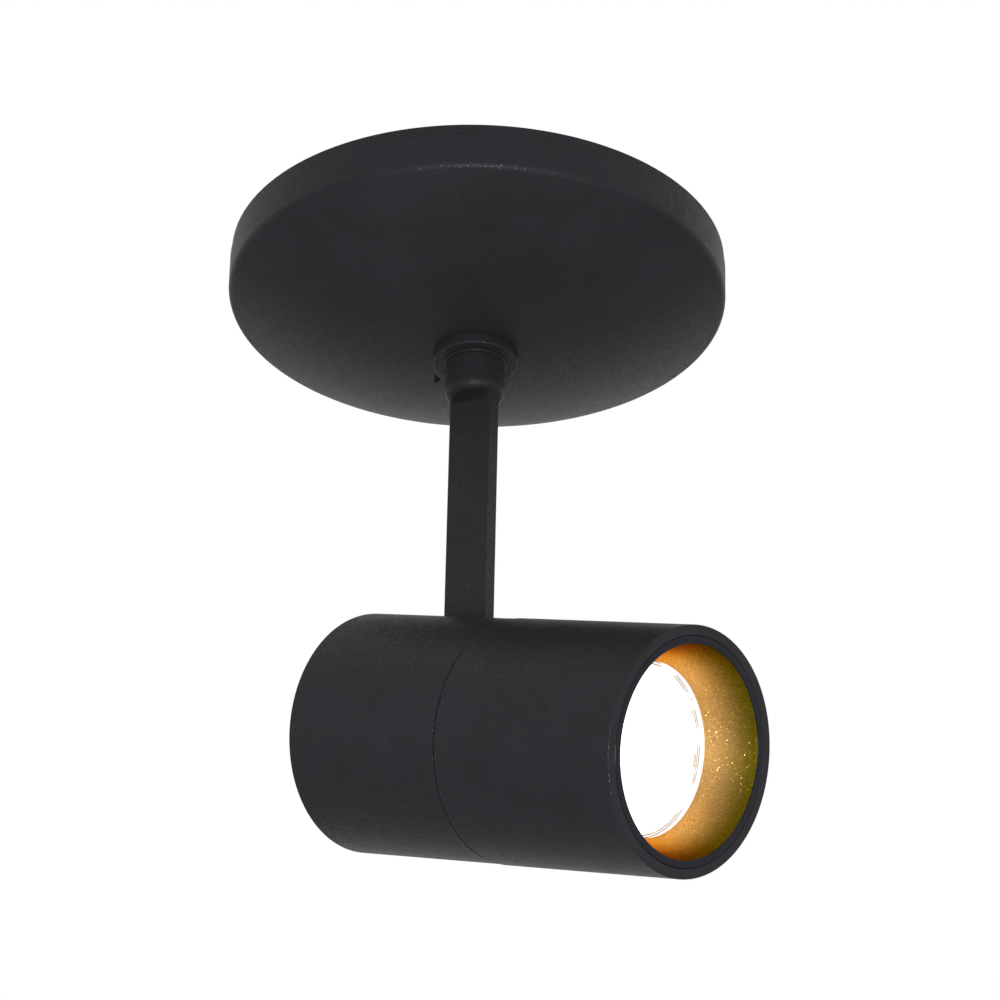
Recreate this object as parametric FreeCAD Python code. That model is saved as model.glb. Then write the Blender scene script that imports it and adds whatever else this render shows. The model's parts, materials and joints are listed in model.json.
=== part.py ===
import FreeCAD, Part
import math
import os

Vector = FreeCAD.Vector

# A surface mounted ceiling spotlight: a domed round canopy, a short swivel collar, a flat arm
# and a two-part cylindrical head with a gold inner cone round a 50 mm reflector lamp.
# Millimetres. The origin is the centre of the canopy where it meets the ceiling, +Z is up, and
# the head aims along +X, tilted down. Everything hangs below Z = 0.

# ---------------------------------------------------------------- clearances
seat_gap = 0.05            # between two faces that are clamped or pressed together
running_gap = 0.05         # radial, between a spindle or screw and the bore it turns in
free_gap = 0.4             # between pieces that move past each other
arm_slot_gap = 0.5         # each side of the arm, in the slot of the rear casing

# ---------------------------------------------------------------- canopy
canopy_radius = 63.5
canopy_wall = 1.2
canopy_side_depth = 10.8   # ceiling to the end of the upright side
canopy_edge_radius = 2.0
dome_depth = 28.0          # ceiling to the lowest point of the dome, if it ran on to its centre

plate_thickness = 1.5
plate_setback = 0.3        # the plate's rim lies this much inside the cover's side
plate_rim_depth = 2.6      # the strip of plate that shows above the cover
plate_lip_depth = 1.6      # the lip that centres the cover, below the rim
plate_lip_width = 1.6
cover_joint = 0.15         # the fine line between the plate's rim and the cover
lip_gap = 0.2

wire_hole_radius = 11.0
grommet_wall = 2.5
grommet_flange = 2.0
grommet_depth = 1.8        # below the plate

box_screw_spacing = 79.4   # middle of the two usual ceiling box spacings, 70 and 88.9
box_slot_length = 14.5
box_slot_width = 5.0

mark_radius = 17.0         # middle of the triangular mark, from the canopy's axis
mark_angle = 162.4         # degrees round from +X
mark_heading = 38.0        # degrees round from +X, the way that the mark points
mark_length = 1.9
mark_width = 6.0
mark_depth = 0.3

# ---------------------------------------------------------------- bridge, nipple and hub
strap_width = 18.0
strap_thickness = 1.5
strap_drop = 20.0          # ceiling to the upper face of the strap's web
strap_half_span = 20.0     # inside face of each leg
strap_foot_length = 9.5
strap_bend = 1.0

nipple_radius = 6.5
nipple_head = 0.2          # the nipple stands this far above its upper nut
nut_across_flats = 17.0
nut_thickness = 3.0

hub_radius = 10.75
hub_thickness = 3.0
hub_edge = 0.4

stop_pin_radius = 1.25
stop_circle = 12.5         # radius on which the stop pin stands
stop_pin_height = 5.6      # above the strap

# ---------------------------------------------------------------- swivel collar and arm
spindle_radius = 4.5
spindle_bore = 3.0
collar_radius = 7.55
collar_length = 10.0
collar_edge = 2.2          # the rounded lower edge
thrust_washer_radius = 7.95
washer_thickness = 0.5
stop_washer_radius = 8.0
stop_washer_thickness = 1.2
stop_tab_width = 4.0
stop_tab_reach = 2.0       # beyond the stop pin's circle
wave_washer_thickness = 0.6
swivel_nut_flats = 13.0
swivel_nut_thickness = 3.0
spindle_end = 0.5          # the spindle stands this far above its nut

arm_width = 12.7
arm_thickness = 4.3
arm_wall = 0.8
arm_edge = 0.5
arm_socket = 8.0           # depth of the collar's pocket for the arm
arm_eye_solid = 8.0        # solid arm above the pivot, below its hollow
grub_radius = 1.5
grub_drop = 4.0            # below the collar's top face

# ---------------------------------------------------------------- wiring
core_radius = 0.8
core_offset = 1.0          # each core from the spindle's axis
cable_radius = 2.0
cable_level = 6.2          # ceiling to the canopy cable's middle
cable_bend = 4.5
core_bend = 2.4
lead_radius = 1.2
lead_level = 6.0

transformer_size = (22.0, 48.0, 15.0)
transformer_start = 16.0   # from the canopy's axis to its near face
ear_size = (10.0, 7.0, 2.0)
block_size = (16.0, 28.0, 13.0)
block_start = 16.0
block_pitch = 9.3

screw_radius = 1.5         # M3
screw_head_radius = 2.7
screw_head_height = 1.8
screw_gap = 0.05
earth_place = (-24.0, 27.0)
earth_screw_radius = 2.0
earth_head_radius = 4.0

# ---------------------------------------------------------------- head, along its own axis
head_tilt = 18.7           # degrees below the horizontal at rest
pivot_drop = 136.7         # ceiling to the tilt pivot
rear_radius = 29.6
front_radius = 29.75
rear_reach = 31.2          # pivot to the rear end
seam_reach = 16.2          # pivot to the seam between the casings
casing_wall = 2.0
cap_thickness = 2.4
rear_edge = 0.4
rim_edge = 0.4

boss_radius = 3.2
boss_offset = 21.5
bulkhead_reach = 8.2
bulkhead_thickness = 1.5
bulkhead_screw_length = 7.0
vent_radius = 3.0
vent_circle = 19.0

thread_length = 8.0        # of the ring that the front casing screws on to
thread_wall = 1.5

pivot_screw_radius = 2.0
pivot_head_radius = 3.6
pivot_head_height = 2.0
pivot_nut_flats = 7.0
pivot_nut_thickness = 3.2
cheek_thickness = 1.8
cheek_radius = 7.0
friction_washer_radius = 5.5
friction_washer_thickness = 0.55

holder_radius = 9.0
holder_length = 9.0
holder_screw_offset = 6.2
holder_head_radius = 2.4
holder_head_height = 0.9
holder_recess = 1.2
pin_pitch = 5.33           # of the lamp's two pins
pin_radius = 0.75
pin_length = 7.0
socket_radius = 1.0

lamp_radius = 25.0
lamp_length = 38.0         # base to face, without the pins
lamp_base_radius = 7.5
lamp_wall = 1.5
lamp_rim_height = 3.0
glass_thickness = 1.3
capsule_radius = 4.0
capsule_length = 14.0

lip_radius = 27.25         # the opening in the front rim
lip_thickness = 1.5
bezel_inner = 25.75
bezel_setback = 0.1
bezel_flange_thickness = 1.3
bezel_lip = 0.3            # thin front lip that hides the cone's edge
cone_mouth = 25.3
cone_throat = 20.7
cone_depth = 13.0          # front rim to the throat
throat_gap = 0.75          # lamp's front edge to the throat
cone_wall = 0.6
cone_lip = 0.8
snap_wire = 0.5

lead_side = 16.5           # head leads from the head's middle plane
arm_lead_side = 10.0

# ---------------------------------------------------------------- worked out from the sizes
side_inner = canopy_radius - canopy_wall
plate_radius = canopy_radius - plate_setback
cover_top = -(plate_rim_depth + cover_joint)

edge_centre = canopy_radius - canopy_edge_radius
dome_rise = dome_depth - canopy_side_depth
dome_radius = (edge_centre ** 2 + dome_rise ** 2 - canopy_edge_radius ** 2) / (
    2.0 * (dome_rise - canopy_edge_radius))
dome_centre = dome_radius - dome_depth


def dome_level(radius):
    """Height of the dome's outer face at a distance from the canopy's axis."""
    return dome_centre - math.sqrt(dome_radius ** 2 - radius ** 2)


hub_top = dome_level(hub_radius)
hub_bottom = hub_top - hub_thickness
strap_top = -strap_drop
strap_bottom = strap_top - strap_thickness
nipple_top = strap_top + nut_thickness + nipple_head
nipple_bottom = hub_bottom + 0.2
nipple_bore = spindle_radius + running_gap

collar_top = hub_bottom - washer_thickness - 2.0 * seat_gap
collar_bottom = collar_top - collar_length
socket_top = collar_bottom + arm_socket
wave_bottom = nipple_top + seat_gap
stop_bottom = wave_bottom + wave_washer_thickness + seat_gap
swivel_nut_bottom = stop_bottom + stop_washer_thickness + seat_gap
spindle_top = swivel_nut_bottom + swivel_nut_thickness + spindle_end

casing_bore = rear_radius - casing_wall
front_bore = front_radius - casing_wall
thread_radius = front_bore - free_gap
thread_bore = thread_radius - thread_wall
bulkhead_front = bulkhead_reach + bulkhead_thickness
holder_start = bulkhead_front + seat_gap
holder_end = holder_start + holder_length
lamp_start = holder_end + 0.2
lamp_face = lamp_start + lamp_length
throat_reach = lamp_face + throat_gap
front_reach = throat_reach + cone_depth
arm_half = arm_thickness / 2.0
washer_inside = arm_half + seat_gap
cheek_inside = washer_inside + friction_washer_thickness + seat_gap
cheek_outside = cheek_inside + cheek_thickness


# ---------------------------------------------------------------- ways to make a shape
def outline(corners, plane):
    """Closed face through (u, v) or (u, v, radius) corners, with tangent arcs at the radii."""
    count = len(corners)
    starts = []
    ends = []
    arcs = []
    for index in range(count):
        here = corners[index]
        point = Vector(here[0], here[1], 0)
        before = corners[index - 1]
        after = corners[(index + 1) % count]
        if len(here) < 3 or here[2] <= 0:
            starts.append(point)
            ends.append(point)
            arcs.append(None)
            continue
        to_before = (Vector(before[0], before[1], 0) - point).normalize()
        to_after = (Vector(after[0], after[1], 0) - point).normalize()
        half = to_before.getAngle(to_after) / 2.0
        reach = here[2] / math.tan(half)
        bisector = (to_before + to_after).normalize()
        centre = point + bisector * (here[2] / math.sin(half))
        starts.append(point + to_before * reach)
        ends.append(point + to_after * reach)
        arcs.append(centre - bisector * here[2])
    edges = []
    for index in range(count):
        if arcs[index] is not None:
            arc = Part.Arc(on_plane(starts[index], plane), on_plane(arcs[index], plane),
                           on_plane(ends[index], plane))
            edges.append(arc.toShape())
        following = (index + 1) % count
        if (starts[following] - ends[index]).Length > 1e-6:
            edges.append(Part.LineSegment(on_plane(ends[index], plane),
                                          on_plane(starts[following], plane)).toShape())
    return Part.Face(Part.Wire(edges))


def on_plane(point, plane):
    """Put a flat (u, v) point in the XZ plane, the YZ plane or the axial (s, r) plane."""
    if plane == "yz":
        return Vector(0, point.x, point.y)
    return Vector(point.x, 0, point.y)


def turned(corners):
    """Solid of revolution about Z, from (radius, height) corners."""
    return outline(corners, "xz").revolve(Vector(0, 0, 0), Vector(0, 0, 1), 360)


def turned_axial(corners):
    """Solid of revolution about the head's axis (X), from (reach, radius) corners."""
    return outline(corners, "xz").revolve(Vector(0, 0, 0), Vector(1, 0, 0), 360)


def post(radius, low, high, x=0.0, y=0.0):
    """Upright cylinder between two heights."""
    return Part.makeCylinder(radius, high - low, Vector(x, y, low))


def rod(radius, start, end, side=0.0, rise=0.0):
    """Cylinder along the head's axis, from start to end."""
    return Part.makeCylinder(radius, end - start, Vector(start, side, rise), Vector(1, 0, 0))


def cross_rod(radius, start, end, along=0.0, rise=0.0):
    """Cylinder across the head, along Y."""
    return Part.makeCylinder(radius, end - start, Vector(along, start, rise), Vector(0, 1, 0))


def block(x_range, y_range, z_range):
    """Box between three pairs of limits."""
    size = (x_range[1] - x_range[0], y_range[1] - y_range[0], z_range[1] - z_range[0])
    return Part.makeBox(size[0], size[1], size[2], Vector(x_range[0], y_range[0], z_range[0]))


def hexagon(flats, height):
    """Hexagonal prism on the XY plane, standing up from Z = 0."""
    corner = flats / math.sqrt(3.0)
    points = []
    for index in range(7):
        angle = math.radians(60.0 * index)
        points.append(Vector(corner * math.cos(angle), corner * math.sin(angle), 0))
    return Part.Face(Part.makePolygon(points)).extrude(Vector(0, 0, height))


def nut(flats, height, bore):
    """Hexagon nut with its corners turned off, on the XY plane."""
    corner = flats / math.sqrt(3.0)
    shape = hexagon(flats, height)
    bevel = (corner - flats / 2.0) * 0.6
    turned_body = turned([(0, 0), (corner - bevel, 0), (corner, bevel), (corner, height - bevel),
                          (corner - bevel, height), (0, height)])
    return shape.common(turned_body).cut(post(bore, -1.0, height + 1.0))


def placed(shape, at, direction):
    """Turn a shape made along +Z to a direction and move its origin to a point."""
    moved = shape.copy()
    moved.Placement = FreeCAD.Placement(Vector(*at), FreeCAD.Rotation(Vector(0, 0, 1),
                                                                      Vector(*direction)))
    return moved


def pan_screw(radius, length, head_radius, head_height):
    """Screw with a slotted pan head: the shank hangs below Z = 0 and the head stands above."""
    shape = turned([(0, -length), (radius - 0.3, -length), (radius, -length + 0.3), (radius, 0),
                    (head_radius, 0), (head_radius, head_height, head_height * 0.45),
                    (0, head_height)])
    slot_half = head_height * 0.2
    slot = block((-head_radius - 1, head_radius + 1), (-slot_half, slot_half),
                 (head_height * 0.55, head_height + 1))
    return shape.cut(slot)


def lead(points, bends, radius):
    """Round lead along straight runs joined by tangent arcs, one bend radius at each turn."""
    path = []
    last = Vector(*points[0])
    for index in range(1, len(points) - 1):
        corner = Vector(*points[index])
        back = (Vector(*points[index - 1]) - corner).normalize()
        on = (Vector(*points[index + 1]) - corner).normalize()
        half = back.getAngle(on) / 2.0
        reach = bends[index - 1] / math.tan(half)
        middle = (back + on).normalize()
        top = corner + middle * (bends[index - 1] / math.sin(half) - bends[index - 1])
        path.append(Part.LineSegment(last, corner + back * reach).toShape())
        path.append(Part.Arc(corner + back * reach, top, corner + on * reach).toShape())
        last = corner + on * reach
    path.append(Part.LineSegment(last, Vector(*points[-1])).toShape())
    start = Vector(*points[0])
    heading = Vector(*points[1]) - start
    section = Part.Wire(Part.makeCircle(radius, start, heading))
    return Part.Wire(path).makePipeShell([section], True, False)


def aimed(shape):
    """Carry a shape from the head's own frame, with its axis along X, to the tilted head."""
    moved = shape.copy()
    moved.rotate(Vector(0, 0, 0), Vector(0, 1, 0), head_tilt)
    moved.translate(Vector(0, 0, -pivot_drop))
    return moved


def joined(shapes):
    """Separate solids that share one node."""
    return Part.makeCompound(shapes)


# ---------------------------------------------------------------- canopy pieces
def mounting_plate():
    """Round steel plate with a rim, a centring lip, two box slots and the wire hole."""
    lip = side_inner - lip_gap
    floor = -plate_thickness
    lip_end = -plate_rim_depth - plate_lip_depth
    shape = turned([(wire_hole_radius, 0), (plate_radius, 0), (plate_radius, -plate_rim_depth),
                    (lip, -plate_rim_depth), (lip, lip_end), (lip - plate_lip_width, lip_end),
                    (lip - plate_lip_width, floor), (wire_hole_radius, floor)])
    half = box_slot_width / 2.0
    run = (box_slot_length - box_slot_width) / 2.0
    for side in (-1, 1):
        middle = side * box_screw_spacing / 2.0
        shape = shape.cut(block((-half, half), (middle - run, middle + run), (-9, 9)))
        for end in (-run, run):
            shape = shape.cut(post(half, -9, 9, 0, middle + end))
    for x, y, radius in plate_screws():
        shape = shape.cut(post(radius + screw_gap, floor - 1, 1, x, y))
    return shape


def plate_screws():
    """Place and radius of each screw that threads into the plate."""
    foot = strap_half_span + strap_thickness + strap_foot_length / 2.0
    ear_x = transformer_start + transformer_size[0] / 2.0
    ear_y = transformer_size[1] / 2.0 + ear_size[1] / 2.0
    block_x = -block_start - block_size[0] / 2.0
    places = [(0, foot, screw_radius), (0, -foot, screw_radius),
              (ear_x, ear_y, screw_radius), (ear_x, -ear_y, screw_radius),
              (block_x, block_pitch / 2.0, screw_radius),
              (block_x, -block_pitch / 2.0, screw_radius),
              (earth_place[0], earth_place[1], earth_screw_radius)]
    return places


def upward_screw(x, y, seat, radius, head_radius, head_height):
    """Screw driven up into the plate, its head under the seat and its tip just below Z = 0."""
    screw = pan_screw(radius, -0.2 - seat, head_radius, head_height)
    return placed(screw, (x, y, seat), (0, 0, -1))


def wire_grommet():
    """Rubber bush in the plate's wire hole, with a flange under the plate."""
    bore = wire_hole_radius - grommet_wall
    outer = wire_hole_radius - seat_gap
    flange = wire_hole_radius + grommet_flange
    under = -plate_thickness - seat_gap
    bottom = under - grommet_depth
    return turned([(bore, -0.1), (outer, -0.1), (outer, under), (flange, under),
                   (flange, bottom, 0.7), (bore, bottom, 0.7)])


def canopy_cover():
    """Spun cover: upright side, rounded edge, shallow dome and a flat seat for the hub."""
    edge_inner = canopy_edge_radius - canopy_wall
    hole = nipple_radius + 0.3
    outer = dome_face(canopy_radius, canopy_edge_radius, dome_radius, 0.0, hub_radius)
    inner = dome_face(side_inner, edge_inner, dome_radius - canopy_wall, canopy_wall, hub_radius)
    shape = outer.cut(inner).cut(post(hole, -dome_depth - 9, 9))
    return shape.cut(arrow_mark())


def dome_face(side, edge, sphere, lift, seat):
    """Solid under the cover's outer or inner face, closed at the cover's top edge."""
    corner = Vector(side - edge, 0, -canopy_side_depth)
    lean = corner - Vector(0, 0, dome_centre)
    lean.normalize()
    touch = corner + lean * edge
    swing = (Vector(1, 0, 0) + lean).normalize()
    seat_level = dome_level(seat) + lift
    flat = math.sqrt(sphere ** 2 - (dome_centre - seat_level) ** 2)
    middle_angle = (math.asin(touch.x / sphere) + math.asin(flat / sphere)) / 2.0
    middle = Vector(sphere * math.sin(middle_angle), 0,
                    dome_centre - sphere * math.cos(middle_angle))
    side_end = Vector(side, 0, -canopy_side_depth)
    seat_edge = Vector(flat, 0, seat_level)
    edges = [Part.LineSegment(Vector(0, 0, cover_top), Vector(side, 0, cover_top)).toShape(),
             Part.LineSegment(Vector(side, 0, cover_top), side_end).toShape(),
             Part.Arc(side_end, corner + swing * edge, touch).toShape(),
             Part.Arc(touch, middle, seat_edge).toShape(),
             Part.LineSegment(seat_edge, Vector(0, 0, seat_level)).toShape(),
             Part.LineSegment(Vector(0, 0, seat_level), Vector(0, 0, cover_top)).toShape()]
    return Part.Face(Part.Wire(edges)).revolve(Vector(0, 0, 0), Vector(0, 0, 1), 360)


def arrow_mark():
    """Triangular recess in the dome, beside the hub."""
    half = mark_width / 2.0
    corners = [Vector(-mark_length / 2.0, half, mark_depth),
               Vector(-mark_length / 2.0, -half, mark_depth),
               Vector(mark_length / 2.0, 0, mark_depth)]
    face = Part.Face(Part.makePolygon(corners + [corners[0]]))
    shape = face.extrude(Vector(0, 0, -4.0 * canopy_wall))
    slope = math.degrees(math.asin(mark_radius / dome_radius))
    shape.rotate(Vector(0, 0, 0), Vector(0, 0, 1), mark_heading - mark_angle)
    shape.rotate(Vector(0, 0, 0), Vector(0, 1, 0), -slope)
    shape.translate(Vector(mark_radius, 0, dome_level(mark_radius)))
    shape.rotate(Vector(0, 0, 0), Vector(0, 0, 1), mark_angle)
    return shape


def bridge_strap():
    """Bent steel strap under the plate that carries the nipple."""
    inside = strap_half_span
    outside = strap_half_span + strap_thickness
    foot = outside + strap_foot_length
    under = -plate_thickness - seat_gap
    foot_bottom = under - strap_thickness
    bend = strap_bend
    outer_bend = strap_bend + strap_thickness
    corners = [(foot, under), (inside, under, outer_bend), (inside, strap_top, bend),
               (-inside, strap_top, bend), (-inside, under, outer_bend), (-foot, under),
               (-foot, foot_bottom), (-outside, foot_bottom, bend),
               (-outside, strap_bottom, outer_bend), (outside, strap_bottom, outer_bend),
               (outside, foot_bottom, bend), (foot, foot_bottom)]
    shape = outline(corners, "yz").extrude(Vector(strap_width, 0, 0))
    shape.translate(Vector(-strap_width / 2.0, 0, 0))
    shape = shape.cut(post(nipple_radius + 0.1, strap_bottom - 1, strap_top + 1))
    shape = shape.cut(post(stop_pin_radius + seat_gap, strap_bottom - 1, strap_top + 1,
                           0, stop_circle))
    hole = outside + strap_foot_length / 2.0
    for side in (-hole, hole):
        shape = shape.cut(post(screw_radius + 0.1, foot_bottom - 1, under + 1, 0, side))
    return shape


def strap_screws():
    """Two screws that hold the strap's feet to the plate."""
    seat = -plate_thickness - strap_thickness - 2.0 * seat_gap
    hole = strap_half_span + strap_thickness + strap_foot_length / 2.0
    return joined([upward_screw(0, side, seat, screw_radius, screw_head_radius,
                                screw_head_height) for side in (-hole, hole)])


def threaded_nipple():
    """Hollow threaded tube from the strap down to the hub, the bearing of the swivel."""
    chamfer = 0.4
    return turned([(nipple_bore, nipple_top), (nipple_radius - chamfer, nipple_top),
                   (nipple_radius, nipple_top - chamfer),
                   (nipple_radius, nipple_bottom + chamfer),
                   (nipple_radius - chamfer, nipple_bottom), (nipple_bore, nipple_bottom)])


def nipple_nuts():
    """Two nuts that clamp the nipple to the strap."""
    upper = nut(nut_across_flats, nut_thickness, nipple_radius + seat_gap)
    lower = upper.copy()
    upper.translate(Vector(0, 0, strap_top + seat_gap))
    lower.translate(Vector(0, 0, strap_bottom - nut_thickness - seat_gap))
    return joined([upper, lower])


def hub_flange():
    """Round flange nut on the nipple that holds the cover up."""
    bore = nipple_radius + seat_gap
    return turned([(bore, hub_top - seat_gap), (hub_radius, hub_top - seat_gap),
                   (hub_radius, hub_bottom, hub_edge), (bore, hub_bottom)])


def stop_pin():
    """Pin in the strap that ends the swivel's turn."""
    return post(stop_pin_radius, strap_bottom, strap_top + stop_pin_height, 0, stop_circle)


def transformer():
    """Potted low voltage transformer with two fixing ears."""
    length, width, height = transformer_size
    top = -plate_thickness - seat_gap
    near = transformer_start
    body = block((near, near + length), (-width / 2.0, width / 2.0), (top - height, top))
    body = body.makeFillet(1.5, [edge for edge in body.Edges if edge.BoundBox.ZMin < top - 0.1])
    middle = near + length / 2.0
    half = ear_size[0] / 2.0
    for side in (-1, 1):
        reach = sorted((side * (width / 2.0 - 1), side * (width / 2.0 + ear_size[1])))
        body = body.fuse(block((middle - half, middle + half), reach, (top - ear_size[2], top)))
        hole_y = side * (width / 2.0 + ear_size[1] / 2.0)
        body = body.cut(post(screw_radius + 0.1, top - 9, top + 1, middle, hole_y))
    return body.removeSplitter()


def transformer_screws():
    """Two screws through the transformer's ears."""
    seat = -plate_thickness - ear_size[2] - 2.0 * seat_gap
    middle = transformer_start + transformer_size[0] / 2.0
    hole_y = transformer_size[1] / 2.0 + ear_size[1] / 2.0
    return joined([upward_screw(middle, side, seat, screw_radius, screw_head_radius,
                                screw_head_height) for side in (-hole_y, hole_y)])


def block_holes():
    """Places along X of the terminal block's two rows of clamping screws."""
    middle = -block_start - block_size[0] / 2.0
    return (middle - block_size[0] / 4.0, middle + block_size[0] / 4.0)


def terminal_block():
    """Three-pole terminal block: wire holes along X, screw wells from below."""
    length, width, height = block_size
    top = -plate_thickness - seat_gap
    bottom = top - height
    shape = block((-block_start - length, -block_start), (-width / 2.0, width / 2.0),
                  (bottom, top))
    shape = shape.makeFillet(0.8, [edge for edge in shape.Edges if edge.BoundBox.ZMax < top - 1])
    for pole in (-1, 0, 1):
        y = pole * block_pitch
        shape = shape.cut(Part.makeCylinder(lead_radius + 0.3, length + 2,
                                            Vector(-block_start - length - 1, y, -lead_level),
                                            Vector(1, 0, 0)))
        for x in block_holes():
            shape = shape.cut(post(screw_head_radius - 0.2, bottom - 1, bottom + 3.0, x, y))
            shape = shape.cut(post(screw_radius + screw_gap, bottom + 2, -lead_level, x, y))
    middle = -block_start - length / 2.0
    for side in (-1, 1):
        y = side * block_pitch / 2.0
        shape = shape.cut(post(screw_radius + 0.1, bottom - 1, top + 1, middle, y))
    return shape


def terminal_screws():
    """Clamping screws of the three poles, one on each side."""
    bottom = -plate_thickness - seat_gap - block_size[2]
    seat = bottom + 3.0 - seat_gap
    length = -lead_level - lead_radius - 0.2 - seat
    screws = []
    for pole in (-1, 0, 1):
        for x in block_holes():
            screw = pan_screw(screw_radius, length, screw_head_radius - 0.4, 1.6)
            screws.append(placed(screw, (x, pole * block_pitch, seat), (0, 0, -1)))
    return joined(screws)


def block_screws():
    """Two screws that hold the terminal block to the plate."""
    seat = -plate_thickness - block_size[2] - 2.0 * seat_gap
    middle = -block_start - block_size[0] / 2.0
    return joined([upward_screw(middle, side * block_pitch / 2.0, seat, screw_radius,
                                screw_head_radius - 0.6, screw_head_height) for side in (-1, 1)])


def earth_screw():
    """Earthing screw with a captive washer."""
    seat = -plate_thickness - seat_gap
    screw = upward_screw(earth_place[0], earth_place[1], seat, earth_screw_radius,
                         earth_head_radius, 2.4)
    washer = post(earth_head_radius + 1.0, seat - 0.8, seat, earth_place[0], earth_place[1])
    return screw.fuse(washer).removeSplitter()


def supply_leads():
    """Two leads from the terminal block to the transformer."""
    start = -block_start - 3.0
    end = transformer_start - seat_gap
    shapes = []
    for side in (-1, 1):
        shapes.append(Part.makeCylinder(lead_radius, end - start,
                                        Vector(start, side * block_pitch, -lead_level),
                                        Vector(1, 0, 0)))
    return joined(shapes)


def lamp_cable():
    """Low voltage cable from the transformer to the top of the spindle."""
    start = spindle_top + 0.3
    points = [(0, 0, start), (0, 0, -cable_level),
              (transformer_start - seat_gap, 0, -cable_level)]
    return lead(points, [cable_bend], cable_radius)


# ---------------------------------------------------------------- swivel and arm pieces
def swivel_collar():
    """Turned collar with its hollow spindle above and a pocket for the arm below."""
    shape = turned([(spindle_bore, spindle_top), (spindle_radius, spindle_top, 0.4),
                    (spindle_radius, collar_top), (collar_radius, collar_top, 0.3),
                    (collar_radius, collar_bottom, collar_edge), (0, collar_bottom),
                    (0, socket_top - 1), (spindle_bore, socket_top - 1)])
    half_x = arm_width / 2.0 + seat_gap
    half_y = arm_half + seat_gap
    pocket = block((-half_x, half_x), (-half_y, half_y), (collar_bottom - 1, socket_top))
    pocket = pocket.makeFillet(arm_edge, [edge for edge in pocket.Edges
                                          if edge.BoundBox.ZLength > arm_socket])
    shape = shape.cut(pocket)
    hole = Part.makeCylinder(grub_radius + screw_gap, collar_radius + 1,
                             Vector(0, 0, collar_top - grub_drop), Vector(0, 1, 0))
    return shape.cut(hole)


def arm_grub_screw():
    """Grub screw in the back of the collar that pins the arm."""
    start = arm_half + seat_gap
    end = math.sqrt(collar_radius ** 2 - grub_radius ** 2) - 0.3
    level = collar_top - grub_drop
    shape = Part.makeCylinder(grub_radius, end - start, Vector(0, start, level), Vector(0, 1, 0))
    key = placed(hexagon(1.5, 1.5), (0, end - 1.2, level), (0, 1, 0))
    return shape.cut(key)


def thrust_washer():
    """Thin washer that the collar turns against, below the hub."""
    top = hub_bottom - seat_gap
    return turned([(spindle_radius + running_gap, top), (thrust_washer_radius, top),
                   (thrust_washer_radius, top - washer_thickness),
                   (spindle_radius + running_gap, top - washer_thickness)])


def wave_washer():
    """Spring washer on top of the nipple."""
    return turned([(spindle_radius + running_gap, wave_bottom), (nipple_radius, wave_bottom),
                   (nipple_radius, wave_bottom + wave_washer_thickness),
                   (spindle_radius + running_gap, wave_bottom + wave_washer_thickness)])


def stop_washer():
    """Washer keyed to the spindle, with a tab that meets the stop pin."""
    top = stop_bottom + stop_washer_thickness
    shape = post(stop_washer_radius, stop_bottom, top)
    half = stop_tab_width / 2.0
    reach = stop_circle + stop_tab_reach
    shape = shape.fuse(block((-half, half), (-reach, 0), (stop_bottom, top)))
    shape = shape.cut(post(spindle_radius + seat_gap, stop_bottom - 1, top + 1))
    return shape.removeSplitter()


def swivel_nut():
    """Nut on the spindle's top end."""
    shape = nut(swivel_nut_flats, swivel_nut_thickness, spindle_radius + seat_gap)
    shape.translate(Vector(0, 0, swivel_nut_bottom))
    return shape


def window_level():
    """Height of the windows where the cores leave the arm."""
    return -pivot_drop + arm_eye_solid + 2.0 * core_bend


def arm_bar():
    """Flat hollow arm, with a round solid end and the pivot bore."""
    half = arm_width / 2.0
    top = socket_top - seat_gap
    left_top = Vector(-half, -arm_half, top)
    left_low = Vector(-half, -arm_half, -pivot_drop)
    right_low = Vector(half, -arm_half, -pivot_drop)
    right_top = Vector(half, -arm_half, top)
    tip = Vector(0, -arm_half, -pivot_drop - half)
    edges = [Part.LineSegment(left_top, left_low).toShape(),
             Part.Arc(left_low, tip, right_low).toShape(),
             Part.LineSegment(right_low, right_top).toShape(),
             Part.LineSegment(right_top, left_top).toShape()]
    shape = Part.Face(Part.Wire(edges)).extrude(Vector(0, arm_thickness, 0))
    rounded = [edge for edge in shape.Edges
               if edge.BoundBox.YLength < 0.01 and edge.BoundBox.ZMin < top - 0.01]
    shape = shape.makeFillet(arm_edge, rounded)
    inner_x = half - arm_wall
    inner_y = arm_half - arm_wall
    shape = shape.cut(block((-inner_x, inner_x), (-inner_y, inner_y),
                            (-pivot_drop + arm_eye_solid, top + 1)))
    for side in (-1, 1):
        reach = sorted((0, side * (arm_half + 1)))
        x = side * core_offset
        window = block((x - 1.2, x + 1.2), reach,
                       (window_level() - 1.4 * core_bend, window_level() + core_bend))
        shape = shape.cut(window)
    return shape.cut(cross_rod(pivot_screw_radius + running_gap, -9, 9, 0, -pivot_drop))


def arm_cores():
    """Two insulated cores down the arm, out of its windows and in to the pivot's line."""
    shapes = []
    exit_level = window_level() - core_bend * 0.4
    for side in (-1, 1):
        x = side * core_offset
        out = side * arm_lead_side
        points = [(x, 0, spindle_top), (x, 0, exit_level), (x, out, exit_level),
                  (0, out, -pivot_drop), (0, side * (lead_side - 3.5), -pivot_drop)]
        shapes.append(lead(points, [core_bend, core_bend, 0.95 * core_bend], core_radius))
    return joined(shapes)


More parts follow.
